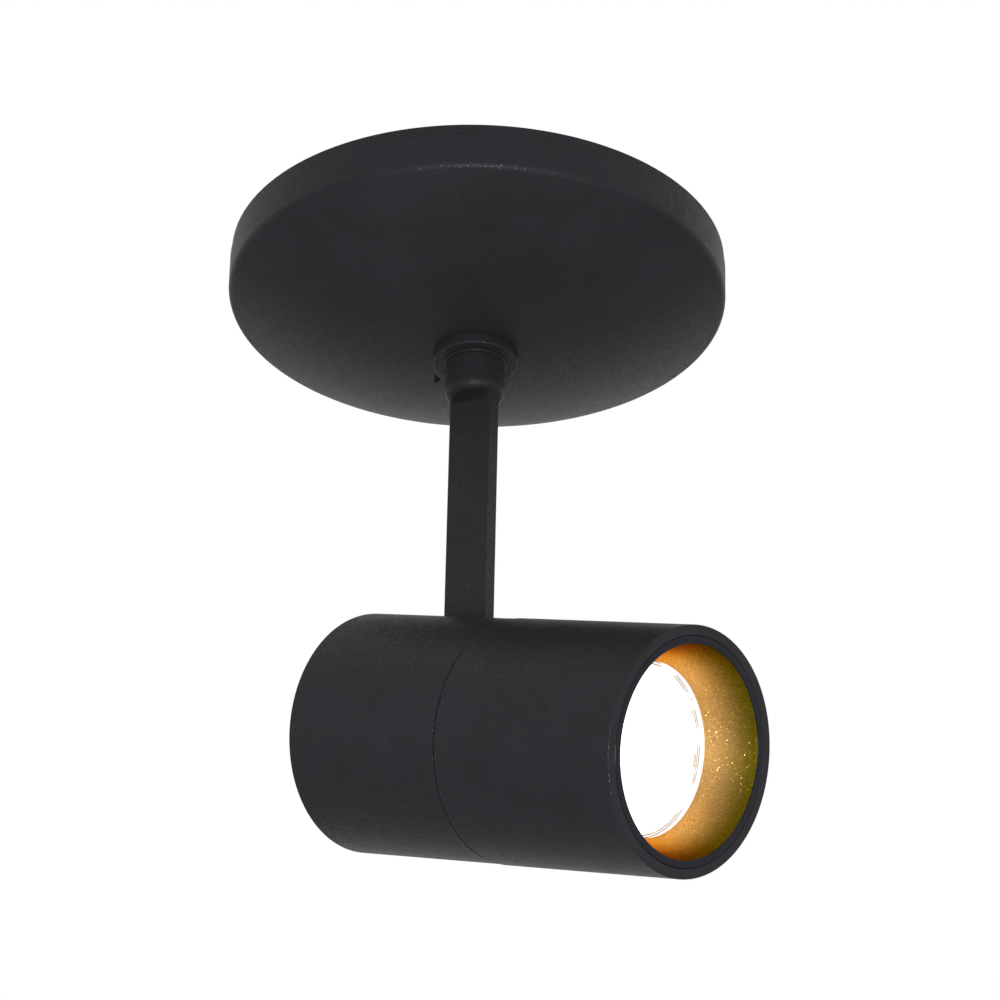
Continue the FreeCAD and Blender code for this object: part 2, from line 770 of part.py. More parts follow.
# ---------------------------------------------------------------- head pieces, in its own frame
def rear_casing():
    """Cup-shaped rear casing with two bosses and the slot that the arm swings in."""
    end = seam_reach - free_gap / 2.0
    cap = -rear_reach + cap_thickness
    shape = turned_axial([(-rear_reach, 0), (-rear_reach, rear_radius, rear_edge),
                          (end, rear_radius, 0.2), (end, casing_bore), (cap, casing_bore),
                          (cap, 0)])
    for side in (-boss_offset, boss_offset):
        shape = shape.fuse(rod(boss_radius, cap - 1, bulkhead_reach - seat_gap, side))
    for side in (-boss_offset, boss_offset):
        shape = shape.cut(rod(screw_radius + screw_gap, 0, bulkhead_reach + 1, side))
    half = arm_half + arm_slot_gap
    end_gap = arm_width / 2.0 + arm_slot_gap
    top_slot = block((-rear_reach - 1, end_gap), (-half, half), (casing_bore - 8, rear_radius + 1))
    rear_slot = block((-rear_reach - 1, cap + 1), (-half, half), (-end_gap, rear_radius + 1))
    return shape.cut(top_slot).cut(rear_slot).removeSplitter()


def thread_ring():
    """Ring fixed in the rear casing's mouth that the front casing screws on to."""
    start = bulkhead_front + 0.5
    shoulder = seam_reach - free_gap / 2.0
    end = seam_reach + thread_length
    return turned_axial([(start, thread_bore), (start, casing_bore - seat_gap),
                         (shoulder, casing_bore - seat_gap), (shoulder, thread_radius),
                         (end, thread_radius, 0.5), (end, thread_bore)])


def bulkhead():
    """Disc across the rear casing that carries the lampholder and the pivot bracket."""
    start = bulkhead_reach - 1
    end = bulkhead_front + 1
    shape = rod(casing_bore - 0.3, bulkhead_reach, bulkhead_front)
    for side in (-1, 1):
        shape = shape.cut(rod(screw_radius + 0.1, start, end, side * boss_offset))
        shape = shape.cut(rod(core_radius + 0.6, start, end, side * lead_side))
        shape = shape.cut(rod(screw_radius + 0.1, start, end, 0, side * holder_screw_offset))
    for index in range(4):
        angle = math.radians(45.0 + 90.0 * index)
        shape = shape.cut(rod(vent_radius, start, end, vent_circle * math.cos(angle),
                              vent_circle * math.sin(angle)))
    return shape


def bulkhead_screws():
    """Two screws that hold the bulkhead to the casing's bosses."""
    screw = pan_screw(screw_radius, bulkhead_screw_length, screw_head_radius,
                      screw_head_height)
    seat = bulkhead_front + seat_gap
    return joined([placed(screw, (seat, side, 0), (1, 0, 0)) for side in (-boss_offset,
                                                                          boss_offset)])


def pivot_bracket():
    """U-shaped bracket whose two cheeks straddle the arm's eye."""
    web_start = arm_width / 2.0 + free_gap
    web_end = bulkhead_reach - seat_gap
    shape = block((0, web_end), (-cheek_outside, cheek_outside), (-cheek_radius, cheek_radius))
    shape = shape.fuse(cross_rod(cheek_radius, -cheek_outside, cheek_outside))
    gap = block((-cheek_radius - 1, web_start), (-cheek_inside, cheek_inside),
                (-cheek_radius - 1, cheek_radius + 1))
    shape = shape.cut(gap).cut(cross_rod(pivot_screw_radius + seat_gap, -20, 20))
    for rise in (-holder_screw_offset, holder_screw_offset):
        shape = shape.cut(rod(screw_radius + screw_gap, web_start - 1, web_end + 1, 0, rise))
    return shape.removeSplitter()


def pivot_screw():
    """Socket head screw, the axle of the tilt."""
    seat = cheek_outside + seat_gap
    length = 2.0 * cheek_outside + pivot_nut_thickness + 0.6
    shape = turned([(0, -length), (pivot_screw_radius, -length, 0.3), (pivot_screw_radius, 0),
                    (pivot_head_radius, 0), (pivot_head_radius, pivot_head_height, 0.4),
                    (0, pivot_head_height)])
    key = hexagon(3.0, 2.0)
    key.translate(Vector(0, 0, pivot_head_height - 1.4))
    return placed(shape.cut(key), (0, seat, 0), (0, 1, 0))


def pivot_nut():
    """Nut on the pivot screw."""
    shape = nut(pivot_nut_flats, pivot_nut_thickness, pivot_screw_radius + seat_gap)
    return placed(shape, (0, -cheek_outside - seat_gap, 0), (0, -1, 0))


def friction_washers():
    """Two washers between the arm's eye and the cheeks, which hold the head where it is put."""
    shapes = []
    for side in (-1, 1):
        low, high = sorted((side * washer_inside,
                            side * (washer_inside + friction_washer_thickness)))
        ring = cross_rod(friction_washer_radius, low, high)
        shapes.append(ring.cut(cross_rod(pivot_screw_radius + seat_gap, -9, 9)))
    return joined(shapes)


def lampholder():
    """Ceramic two-pin lampholder."""
    shape = turned_axial([(holder_start, 0), (holder_start, holder_radius, 0.5),
                          (holder_end, holder_radius, 0.8), (holder_end, 0)])
    for side in (-1, 1):
        shape = shape.cut(rod(socket_radius, holder_end - pin_length - 0.8, holder_end + 1,
                              side * pin_pitch / 2.0))
        rise = side * holder_screw_offset
        shape = shape.cut(rod(screw_radius + 0.1, holder_start - 1, holder_end + 1, 0, rise))
        shape = shape.cut(rod(holder_head_radius + 0.2, holder_end - holder_recess,
                              holder_end + 1, 0, rise))
    return shape


def holder_screws():
    """Two screws through the lampholder and the bulkhead into the pivot bracket."""
    seat = holder_end - holder_recess + seat_gap
    length = seat - (arm_width / 2.0 + free_gap) - 0.15
    screw = pan_screw(screw_radius, length, holder_head_radius, holder_head_height)
    return joined([placed(screw, (seat, 0, side * holder_screw_offset), (1, 0, 0))
                   for side in (-1, 1)])


def lamp_reflector():
    """Glass reflector of the lamp, with its base block."""
    rim_back = lamp_face - lamp_rim_height
    neck = lamp_start + 6.0
    glass_seat = lamp_face - glass_thickness - seat_gap - 0.1
    lip = lamp_radius - 1.6
    floor = neck + 2.0
    start = Vector(lamp_start, 0, 0)
    points = [start, Vector(lamp_start, 0, lamp_base_radius), Vector(neck, 0, lamp_base_radius + 1)]
    shoulder = Vector(rim_back, 0, lamp_radius - 0.8)
    bulge = Vector(neck + 0.42 * (rim_back - neck), 0, 0.78 * lamp_radius)
    rim = [shoulder, Vector(rim_back, 0, lamp_radius), Vector(lamp_face, 0, lamp_radius),
           Vector(lamp_face, 0, lip), Vector(glass_seat, 0, lip),
           Vector(glass_seat, 0, lip - 0.6)]
    inner_end = Vector(floor, 0, capsule_radius + 1.0)
    inner_bulge = Vector(bulge.x + lamp_wall, 0, bulge.z - 1.2 * lamp_wall)
    edges = [Part.LineSegment(points[0], points[1]).toShape(),
             Part.LineSegment(points[1], points[2]).toShape(),
             Part.Arc(points[2], bulge, shoulder).toShape()]
    for first, second in zip(rim[:-1], rim[1:]):
        edges.append(Part.LineSegment(first, second).toShape())
    edges.append(Part.Arc(rim[-1], inner_bulge, inner_end).toShape())
    edges.append(Part.LineSegment(inner_end, Vector(floor, 0, 0)).toShape())
    edges.append(Part.LineSegment(Vector(floor, 0, 0), start).toShape())
    shape = Part.Face(Part.Wire(edges)).revolve(Vector(0, 0, 0), Vector(1, 0, 0), 360)
    for side in (-1, 1):
        shape = shape.cut(rod(pin_radius + screw_gap, lamp_start - 1, lamp_start + 2.0,
                              side * pin_pitch / 2.0))
    return shape


def lamp_glass():
    """Front glass of the lamp."""
    start = lamp_face - glass_thickness - 0.1
    return turned_axial([(start, 0), (start, lamp_radius - 1.6 - seat_gap),
                         (lamp_face - 0.1, lamp_radius - 1.6 - seat_gap, 0.3),
                         (lamp_face - 0.1, 0)])


def lamp_capsule():
    """Light source inside the reflector."""
    start = lamp_start + 8.0 + seat_gap
    end = start + capsule_length
    return turned_axial([(start, 0), (start, capsule_radius), (end, capsule_radius, 2.5),
                         (end, 0)])


def lamp_pins():
    """The lamp's two pins."""
    return joined([rod(pin_radius, lamp_start - pin_length, lamp_start + 1.9,
                       side * pin_pitch / 2.0) for side in (-1, 1)])


def head_leads():
    """Two leads from the pivot's line through the bulkhead to the lampholder."""
    shapes = []
    entry = (holder_start + holder_end) / 2.0 + 0.5
    for side in (-1, 1):
        points = [(0, side * (lead_side - 3.2), 0), (0, side * lead_side, 0),
                  (entry, side * lead_side, 0), (entry, side * (holder_radius + seat_gap), 0)]
        shapes.append(lead(points, [core_bend, core_bend], core_radius))
    return joined(shapes)


# ---------------------------------------------------------------- front pieces, in its own frame
def front_casing():
    """Front casing: a tube with an inward lip at its rim and a groove for the snap ring."""
    start = seam_reach + free_gap / 2.0
    lip_start = front_reach - lip_thickness
    groove = snap_reach()
    groove_half = snap_wire + 0.1
    groove_radius = front_bore + snap_wire
    return turned_axial([(start, front_bore), (start, front_radius, 0.2),
                         (front_reach, front_radius, rim_edge), (front_reach, lip_radius, 0.25),
                         (lip_start, lip_radius), (lip_start, front_bore),
                         (groove + groove_half, front_bore),
                         (groove + groove_half, groove_radius),
                         (groove - groove_half, groove_radius),
                         (groove - groove_half, front_bore)])


def snap_reach():
    """Middle of the snap ring, just behind the bezel's flange."""
    return front_reach - lip_thickness - bezel_flange_thickness - 2.0 * seat_gap - snap_wire


def bezel_ring():
    """Black ring inside the rim, with a flange that the snap ring holds against the lip."""
    front = front_reach - bezel_setback
    flange_front = front_reach - lip_thickness - seat_gap
    flange_back = flange_front - bezel_flange_thickness
    return turned_axial([(flange_back, bezel_inner), (flange_back, front_bore - seat_gap),
                         (flange_front, front_bore - seat_gap),
                         (flange_front, lip_radius - seat_gap),
                         (front, lip_radius - seat_gap, 0.2), (front, cone_mouth, 0.1),
                         (front - bezel_lip, cone_mouth), (front - bezel_lip, bezel_inner)])


def baffle_cone():
    """Gold cone from the bezel's lip back to the lamp."""
    front = front_reach - bezel_setback - bezel_lip - seat_gap
    lip_radius_out = bezel_inner - seat_gap
    return turned_axial([(front, cone_mouth), (front, lip_radius_out),
                         (front - cone_lip, lip_radius_out),
                         (throat_reach, cone_throat + cone_wall), (throat_reach, cone_throat)])


def snap_ring():
    """Open wire ring in the front casing's groove."""
    reach = snap_reach()
    centre = Vector(reach, 0, front_bore - 0.15)
    section = Part.Face(Part.Wire(Part.makeCircle(snap_wire, centre, Vector(0, 1, 0))))
    return section.revolve(Vector(0, 0, 0), Vector(1, 0, 0), 340)


# ---------------------------------------------------------------- the whole spotlight
fixed_pieces = [mounting_plate, wire_grommet, canopy_cover, bridge_strap, strap_screws,
                threaded_nipple, nipple_nuts, hub_flange, stop_pin, transformer,
                transformer_screws, terminal_block, terminal_screws, block_screws, earth_screw,
                supply_leads, lamp_cable, swivel_collar, arm_grub_screw, thrust_washer,
                wave_washer, stop_washer, swivel_nut, arm_bar, arm_cores]
head_pieces = [rear_casing, thread_ring, bulkhead, bulkhead_screws, pivot_bracket, pivot_screw,
               pivot_nut, friction_washers, lampholder, holder_screws, lamp_reflector,
               lamp_glass, lamp_capsule, lamp_pins, head_leads, front_casing, bezel_ring,
               baffle_cone, snap_ring]

os.makedirs("parts", exist_ok=True)
for piece in fixed_pieces:
    piece().exportStep("parts/" + piece.__name__ + ".step")
for piece in head_pieces:
    aimed(piece()).exportStep("parts/" + piece.__name__ + ".step")
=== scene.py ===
import json
import logging
import math
from dataclasses import dataclass
from enum import Enum
from functools import cache

import bpy
import numpy as np
from mathutils import Matrix, Vector


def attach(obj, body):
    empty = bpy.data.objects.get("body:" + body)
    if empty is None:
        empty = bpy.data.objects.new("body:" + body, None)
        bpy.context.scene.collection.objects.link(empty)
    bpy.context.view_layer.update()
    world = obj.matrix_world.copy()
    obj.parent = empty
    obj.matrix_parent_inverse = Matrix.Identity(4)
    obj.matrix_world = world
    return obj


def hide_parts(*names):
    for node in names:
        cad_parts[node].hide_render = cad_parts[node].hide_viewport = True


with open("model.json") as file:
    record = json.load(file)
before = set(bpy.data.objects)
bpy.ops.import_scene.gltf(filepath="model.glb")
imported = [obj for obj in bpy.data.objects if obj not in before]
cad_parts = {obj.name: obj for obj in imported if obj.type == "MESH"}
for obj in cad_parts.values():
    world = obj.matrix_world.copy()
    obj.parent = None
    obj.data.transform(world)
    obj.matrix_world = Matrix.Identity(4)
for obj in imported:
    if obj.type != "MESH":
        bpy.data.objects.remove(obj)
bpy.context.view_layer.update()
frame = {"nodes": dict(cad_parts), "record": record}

# The surface mounted ceiling spotlight: a domed round canopy, a swivel collar, a flat arm and a
# two-part cylindrical head with a gold inner cone round a lit reflector lamp. The pieces' sizes
# are written in millimetres and made metres when a mesh is built. The finishes and the studio
# are in metres.

log = logging.getLogger("ceiling_spotlight")
MM = 0.001
ON_AXIS = 1e-9                  # a row of a profile whose radius is less is a pole
Colour = tuple[float, float, float]
Place = tuple[float, float, float]
Span = tuple[float, float]
Edges = tuple[float, ...]       # rounding of each corner of a profile, in the profile's order
Node, Socket, Piece = bpy.types.Node, bpy.types.NodeSocket, bpy.types.Object


class Axis(Enum):
    """What a turned piece is turned about."""

    UPRIGHT = "upright"
    HEAD = "head"


@dataclass(frozen=True)
class Pose:
    """Where the head hangs: its pivot below the ceiling and its tilt below the horizontal."""

    pivot_drop: float = 136.7
    tilt: float = 18.7

    def forward(self) -> np.ndarray:
        """Unit vector along the head's own axis."""
        angle = math.radians(self.tilt)
        return np.array([math.cos(angle), 0.0, -math.sin(angle)])

    def rise(self) -> np.ndarray:
        """Unit vector square to the head's axis, upwards."""
        angle = math.radians(self.tilt)
        return np.array([math.sin(angle), 0.0, math.cos(angle)])

    def pivot(self) -> np.ndarray:
        """The tilt pivot in millimetres."""
        return np.array([0.0, 0.0, -self.pivot_drop])


POSE = Pose()


# ---- surfaces
def rounded(corners: list[Span], edges: Edges, steps: int = 5, guard: float = 0.12) -> np.ndarray:
    """Profile through corners, each turned by a tangent arc of its own radius.

    The arc's centre lies on the corner's bisector, at radius / sin(half angle), and the arc runs
    between the feet of the centre on the two sides. A guard point follows each arc along its
    sides, so that smooth shading stays on the arc.

    Args:
        corners: (along, radius) in millimetres, in order, closed.
        edges: Radius of the arc at each corner, or nought where it stays sharp.
        steps: Segments in each arc.
        guard: Distance of the guard points from the arc's ends.

    Returns:
        An N by 2 array of (along, radius).
    """
    points = np.array(corners)
    rows = []
    for index, (here, fillet) in enumerate(zip(points, edges)):
        if fillet <= 0.0:
            rows.append(here[None])
            continue
        back = points[index - 1] - here
        ahead = points[(index + 1) % len(points)] - here
        back_length, ahead_length = np.linalg.norm(back), np.linalg.norm(ahead)
        back, ahead = back / back_length, ahead / ahead_length
        half = math.acos(float(np.clip(back @ ahead, -1.0, 1.0))) / 2.0
        reach = fillet / math.tan(half)
        bisector = (back + ahead) / np.linalg.norm(back + ahead)
        centre = here + bisector * (fillet / math.sin(half))
        share = np.linspace(0.0, 1.0, steps + 1)[:, None]
        chord = (here + back * reach) * (1.0 - share) + (here + ahead * reach) * share - centre
        arc = centre + fillet * chord / np.linalg.norm(chord, axis=1)[:, None]
        before = here + back * min(reach + guard, 0.5 * back_length + 0.5 * reach)
        after = here + ahead * min(reach + guard, 0.5 * ahead_length + 0.5 * reach)
        rows.extend([before[None], arc, after[None]])
    return np.concatenate(rows)


def arc_rows(start: float, end: float, centre: Span, radius: float, count: int) -> np.ndarray:
    """Points centre + radius (cos a, sin a) for angles a from start to end, in degrees."""
    angle = np.radians(np.linspace(start, end, count))
    return np.stack([centre[0] + radius * np.cos(angle), centre[1] + radius * np.sin(angle)], 1)


def linked(name: str, data: bpy.types.ID) -> Piece:
    """New object with its data, in the scene."""
    made = bpy.data.objects.new(name, data)
    bpy.context.scene.collection.objects.link(made)
    return made


def shell(name: str, rings: np.ndarray, poles: np.ndarray, sharp: float) -> Piece:
    """Closed surface of quads from ring to ring, with a pole at each end or joined end to end.

    The signed volume, a sixth of the sum of a . (b x c) over the triangles, is made positive by
    turning the faces round where it comes out negative, so that they point outwards.

    Args:
        name: Name of the object.
        rings: N by M by 3 array in millimetres, M points round each ring.
        poles: The points before the first ring and after the last, or none.
        sharp: Angle in degrees past which an edge shades as a crease.

    Returns:
        The new object, at the origin and in the scene.
    """
    points = np.concatenate([rings.reshape(-1, 3), poles])
    number = np.arange(len(points) - len(poles)).reshape(rings.shape[:2])
    upper, lower = (number[:-1], number[1:]) if len(poles) else (number, np.roll(number, -1, 0))
    quads = np.stack([upper, lower, np.roll(lower, -1, 1), np.roll(upper, -1, 1)], -1)
    faces = [quads.reshape(-1, 4)]
    for index, ring in enumerate((number[0], number[-1, ::-1])[:len(poles)], number.size):
        faces.append(np.stack([np.full(len(ring), index), ring, np.roll(ring, -1)], -1))
    volume = 0.0
    for block in faces:
        for last in range(2, block.shape[1]):
            a, b, c = points[block[:, 0]], points[block[:, last - 1]], points[block[:, last]]
            volume += float(np.einsum("ij,ij->i", a, np.cross(b, c)).sum())
    turn = -1 if volume < 0.0 else 1
    mesh = bpy.data.meshes.new(name)
    mesh.from_pydata(points * MM, [], sum((block[:, ::turn].tolist() for block in faces), []))
    mesh.validate()
    mesh.shade_smooth()
    mesh.set_sharp_from_angle(angle=math.radians(sharp))
    return linked(name, mesh)


def spun_points(profile: np.ndarray, axis: Axis, segments: int) -> np.ndarray:
    """Grid of points P(i, j) = origin + along_i * axis + radius_i * (cos a_j u + sin a_j v).

    Args:
        profile: N by 2 array of (along, radius) in millimetres.
        axis: The upright line through the canopy, or the head's own axis through its pivot.
        segments: Steps round the full turn.

    Returns:
        An N by segments by 3 array in millimetres.
    """
    if axis is Axis.UPRIGHT:
        origin, line, side, up = np.zeros(3), *np.eye(3)[[2, 0, 1]]
    else:
        origin, line, side, up = POSE.pivot(), POSE.forward(), np.eye(3)[1], POSE.rise()
    angle = np.linspace(0.0, 2.0 * math.pi, segments, endpoint=False)
    ring = np.cos(angle)[:, None] * side + np.sin(angle)[:, None] * up
    return origin + profile[:, 0, None, None] * line + profile[:, 1, None, None] * ring


def turned(name: str, profile: np.ndarray, axis: Axis, segments: int = 192,
           sharp: float = 34.0) -> Piece:
    """Closed surface of revolution from a closed profile, or one that starts and ends on the axis.

    Args:
        name: Name of the object.
        profile: N by 2 array of (along, radius) in millimetres.
        axis: What it is turned about.
        segments: Steps round the full turn.
        sharp: Angle in degrees past which an edge shades as a crease.

    Returns:
        The new object.
    """
    grid, pole = spun_points(profile, axis, segments), profile[:, 1] < ON_AXIS
    return shell(name, grid[~pole], grid[pole, 0], sharp)


# ---- shader tools
MIX_COLOURS = (6, 7)            # the Mix node's two colour inputs
MIX_RESULT = 2                  # and its colour output
DRIFT_SHARE = 0.3               # share of the slow noise in the grain's height
DRIFT_RANGE = (0.3, 0.7)        # where the slow noise starts and ends its swing
HEIGHT_RANGE = (0.3, 1.0)       # the same of the grain's height
FLAKE_DOT = (0.42, 0.26)        # a flake's edge and its whole part, in cells from its middle
FLAKE_POLISH = 0.6              # share of the coat's roughness that a flake loses


def feeding(socket: Socket) -> Socket:
    """The output that is joined to an input."""
    return socket.links[0].from_socket


class Sheet:
    """A node tree with short ways to add and join its nodes."""

    def __init__(self, tree: bpy.types.NodeTree) -> None:
        """Keep the tree that nodes are added to."""
        self.tree = tree

    def add(self, kind: str, values: dict | None = None, **settings: object) -> Node:
        """Add a node.

        Args:
            kind: The node's type.
            values: Input values or sockets, by input name or number.
            settings: The node's own settings.

        Returns:
            The new node.
        """
        node = self.tree.nodes.new(kind)
        for key, value in settings.items():
            setattr(node, key, value)
        for key, value in (values or {}).items():
            self.feed(node.inputs[key], value)
        return node

    def feed(self, socket: Socket, value: object) -> None:
        """Give a socket a constant, or join another node's output to it."""
        if isinstance(value, Socket):
            self.tree.links.new(value, socket)
        else:
            socket.default_value = value

    def maths(self, operation: str, *values: object) -> Socket:
        """Value of a Math node for up to three inputs."""
        return self.add("ShaderNodeMath", dict(enumerate(values)), operation=operation).outputs[0]

    def vector(self, operation: str, *values: object, **factor: object) -> Socket:
        """Result of a Vector Math node for up to two vectors, with a factor named Scale."""
        node = self.add("ShaderNodeVectorMath", dict(enumerate(values)) | factor,
                        operation=operation)
        return node.outputs["Value" if operation in ("DOT_PRODUCT", "LENGTH") else "Vector"]

    def ramp(self, value: object, low: float, high: float, start: float = 0.0,
             end: float = 1.0) -> Socket:
        """Value carried smoothly from start to end as the input goes from low to high."""
        node = self.add("ShaderNodeMapRange", {"Value": value, "From Min": low, "From Max": high,
                                               "To Min": start, "To Max": end},
                        interpolation_type="SMOOTHSTEP")
        return node.outputs["Result"]

    def blend(self, share: object, first: object, second: object) -> Socket:
        """Colour between two colours, each a constant or a socket."""
        node = self.add("ShaderNodeMix", {0: share}, data_type="RGBA")
        for place, colour in zip(MIX_COLOURS, (first, second)):
            self.feed(node.inputs[place], (*colour, 1.0) if isinstance(colour, tuple) else colour)
        return node.outputs[MIX_RESULT]

    def relief(self, shader: Node, height: object, depth: float, sunk: bool = False) -> None:
        """Add relief of a depth in metres to whatever shapes the shader's normal already."""
        normal = shader.inputs["Normal"]
        node = self.add("ShaderNodeBump", {"Height": height, "Strength": 1.0, "Distance": depth},
                        invert=sunk)
        if normal.links:
            self.feed(node.inputs["Normal"], feeding(normal))
        self.feed(normal, node.outputs[0])


def new_group(name: str, inputs: tuple[str, ...],
              outputs: tuple[str, ...]) -> tuple[Sheet, bpy.types.bpy_prop_collection]:
    """Start a shader node group, in which a socket named Vector or Normal is a vector.

    Args:
        name: Name of the group.
        inputs: Names of its inputs.
        outputs: Names of its outputs.

    Returns:
        The sheet to draw on, and what the group is given, by name.
    """
    tree = bpy.data.node_groups.new(name, "ShaderNodeTree")
    for way, labels in (("INPUT", inputs), ("OUTPUT", outputs)):
        for label in labels:
            kind = "NodeSocketVector" if label in ("Vector", "Normal") else "NodeSocketFloat"
            tree.interface.new_socket(name=label, in_out=way, socket_type=kind)
    sheet = Sheet(tree)
    return sheet, sheet.add("NodeGroupInput").outputs


@cache
def grain_group() -> bpy.types.NodeTree:
    """Fine grain: two noises, one of the grain and one of slow drift.

    Height is the grain's noise plus a share of the drift, and Tone is the drift about a half.

    Returns:
        The group, made once.
    """
    sheet, given = new_group("fine_grain", ("Vector", "Scale", "Drift"), ("Height", "Tone"))
    fine, slow = (sheet.add("ShaderNodeTexNoise", {
        "Vector": given["Vector"], "Scale": given[scale], "Detail": detail,
        "Roughness": rough}).outputs[0] for scale, detail, rough in (
            ("Scale", 2.0, 0.55), ("Drift", 3.0, 0.5)))
    height = sheet.maths("MULTIPLY_ADD", slow, DRIFT_SHARE, fine)
    sheet.add("NodeGroupOutput", {"Height": height, "Tone": slow})
    return sheet.tree


@cache
def fleck_group() -> bpy.types.NodeTree:
    """Scattered flakes: small cells of which a share holds a flake, each lying its own way.

    Mask is a soft dot round the middle of each chosen cell. Normal is the given normal, leaned
    inside the dots by Tilt times a random vector of the cell.

    Returns:
        The group, made once.
    """
    sheet, given = new_group("scattered_flecks", ("Vector", "Normal", "Scale", "Amount", "Tilt"),
                             ("Mask", "Normal"))
    cells = sheet.add("ShaderNodeTexVoronoi", {"Vector": given["Vector"],
                                               "Scale": given["Scale"]})
    split = sheet.add("ShaderNodeSeparateColor", {"Color": cells.outputs["Color"]})
    held = sheet.maths("LESS_THAN", split.outputs[0], given["Amount"])
    mask = sheet.maths("MULTIPLY", sheet.ramp(cells.outputs["Distance"], *FLAKE_DOT), held)
    chance = sheet.add("ShaderNodeTexWhiteNoise", {"Vector": cells.outputs["Position"]})
    lean = sheet.vector("SUBTRACT", chance.outputs["Color"], (0.5, 0.5, 0.5))
    share = sheet.vector("SCALE", lean, Scale=sheet.maths("MULTIPLY", mask, given["Tilt"]))
    leaned = sheet.vector("NORMALIZE", sheet.vector("ADD", given["Normal"], share))
    sheet.add("NodeGroupOutput", {"Mask": mask, "Normal": leaned})
    return sheet.tree


@cache
def reach_group() -> bpy.types.NodeTree:
    """Place on a turned piece of the head: Reach along its axis and Radius from it, in metres.

    With p the point from the pivot and d the head's axis, Reach = p . d and
    Radius = length of p - d (p . d).

    Returns:
        The group, made once.
    """
    sheet, given = new_group("head_axis_place", ("Vector",), ("Reach", "Radius"))
    line = tuple(POSE.forward())
    from_pivot = sheet.vector("SUBTRACT", given["Vector"], tuple(POSE.pivot() * MM))
    reach = sheet.vector("DOT_PRODUCT", from_pivot, line)
    off = sheet.vector("SUBTRACT", from_pivot, sheet.vector("SCALE", line, Scale=reach))
    sheet.add("NodeGroupOutput", {"Reach": reach, "Radius": sheet.vector("LENGTH", off)})
    return sheet.tree


def head_place(sheet: Sheet, where: Socket) -> Node:
    """The head's place group, for object coordinates."""
    return sheet.add("ShaderNodeGroup", {"Vector": where}, node_tree=reach_group())


# ---- finishes
@dataclass(frozen=True)
class Finish:
    """A finish with its colour, gloss and grain.

    Attributes:
        colour: Base colour, linear, and second: what it drifts towards.
        roughness: Middle roughness, which the grain moves by spread.
        bump: Height of the grain in metres.
        scale: Grains in a metre, and drift: swings of the slow drift in a metre.
        edge_tint: Colour of the gloss where the surface is seen edge on.
        flakes: Share of small cells that hold a metal flake.
        flake_colour: The flakes' colour, or None where they have the coat's own.
        flake_scale: Cells in a metre, and flake_tilt: how far the flakes lean.
        slot: Slot in the record, where it isn't the finish's own name; not used.
    """

    name: str
    colour: Colour
    second: Colour
    roughness: float = 0.5
    spread: float = 0.05
    metallic: float = 0.0
    bump: float = 1e-5
    scale: float = 2200.0
    drift: float = 60.0
    specular: float = 0.5
    edge_tint: Colour = (1.0, 1.0, 1.0)
    flakes: float = 0.0
    flake_colour: Colour | None = None
    flake_scale: float = 3000.0
    flake_tilt: float = 0.9
    slot: str = ""

    @cache
    def material(self) -> bpy.types.Material:
        """The material, made once."""
        made = bpy.data.materials.new(self.name + "_finish")
        made.use_nodes = True
        made.node_tree.nodes.clear()
        sheet = Sheet(made.node_tree)
        shader = sheet.add("ShaderNodeBsdfPrincipled",
                           {"Specular IOR Level": self.specular, "Metallic": self.metallic,
                            "Specular Tint": (*self.edge_tint, 1.0)})
        self.draw(sheet, shader)
        sheet.add("ShaderNodeOutputMaterial", {"Surface": shader.outputs[0]})
        return made

    def share(self, sheet: Sheet, where: Socket, grain: Node) -> Socket:
        """How far the colour has gone to the second one: the slow drift."""
        return sheet.ramp(grain.outputs["Tone"], *DRIFT_RANGE)

    def base(self, sheet: Sheet, shader: Node) -> tuple[Socket, Node]:
        """Feed colour, roughness and bump from the grain.

        Args:
            sheet: The material's sheet.
            shader: Its shader.

        Returns:
            The object coordinates, and the grain group with this finish's values.
        """
        where = sheet.add("ShaderNodeTexCoord").outputs["Object"]
        grain = sheet.add("ShaderNodeGroup", {"Vector": where, "Scale": self.scale,
                                              "Drift": self.drift}, node_tree=grain_group())
        height = grain.outputs["Height"]
        sheet.feed(shader.inputs["Base Color"],
                   sheet.blend(self.share(sheet, where, grain), self.colour, self.second))
        sheet.feed(shader.inputs["Roughness"],
                   sheet.ramp(height, *HEIGHT_RANGE, self.roughness - self.spread,
                              self.roughness + self.spread))
        sheet.relief(shader, height, self.bump)
        return where, grain

    def sparkle(self, sheet: Sheet, shader: Node, where: Socket) -> None:
        """Lay small metal flakes in the coat, smooth and each leaning its own way.

        Args:
            sheet: The material's sheet.
            shader: Its shader, with the base joined.
            where: Object coordinates.
        """
        colour, gloss, metal, normal = (shader.inputs[name] for name in (
            "Base Color", "Roughness", "Metallic", "Normal"))
        flecks = sheet.add("ShaderNodeGroup", {
            "Vector": where, "Scale": self.flake_scale, "Amount": self.flakes,
            "Tilt": self.flake_tilt, "Normal": feeding(normal)}, node_tree=fleck_group())
        mask = flecks.outputs["Mask"]
        if self.flake_colour is not None:
            sheet.feed(colour, sheet.blend(mask, feeding(colour), self.flake_colour))
        rest = sheet.maths("SUBTRACT", 1.0, sheet.maths("MULTIPLY", mask, FLAKE_POLISH))
        sheet.feed(gloss, sheet.maths("MULTIPLY", feeding(gloss), rest))
        if self.metallic < 1.0:
            sheet.feed(metal, sheet.maths("MAXIMUM", mask, self.metallic))
        sheet.feed(normal, flecks.outputs["Normal"])

    def draw(self, sheet: Sheet, shader: Node) -> None:
        """Join the finish's own nodes to the shader."""
        where, _ = self.base(sheet, shader)
        if self.flakes > 0.0:
            self.sparkle(sheet, shader, where)


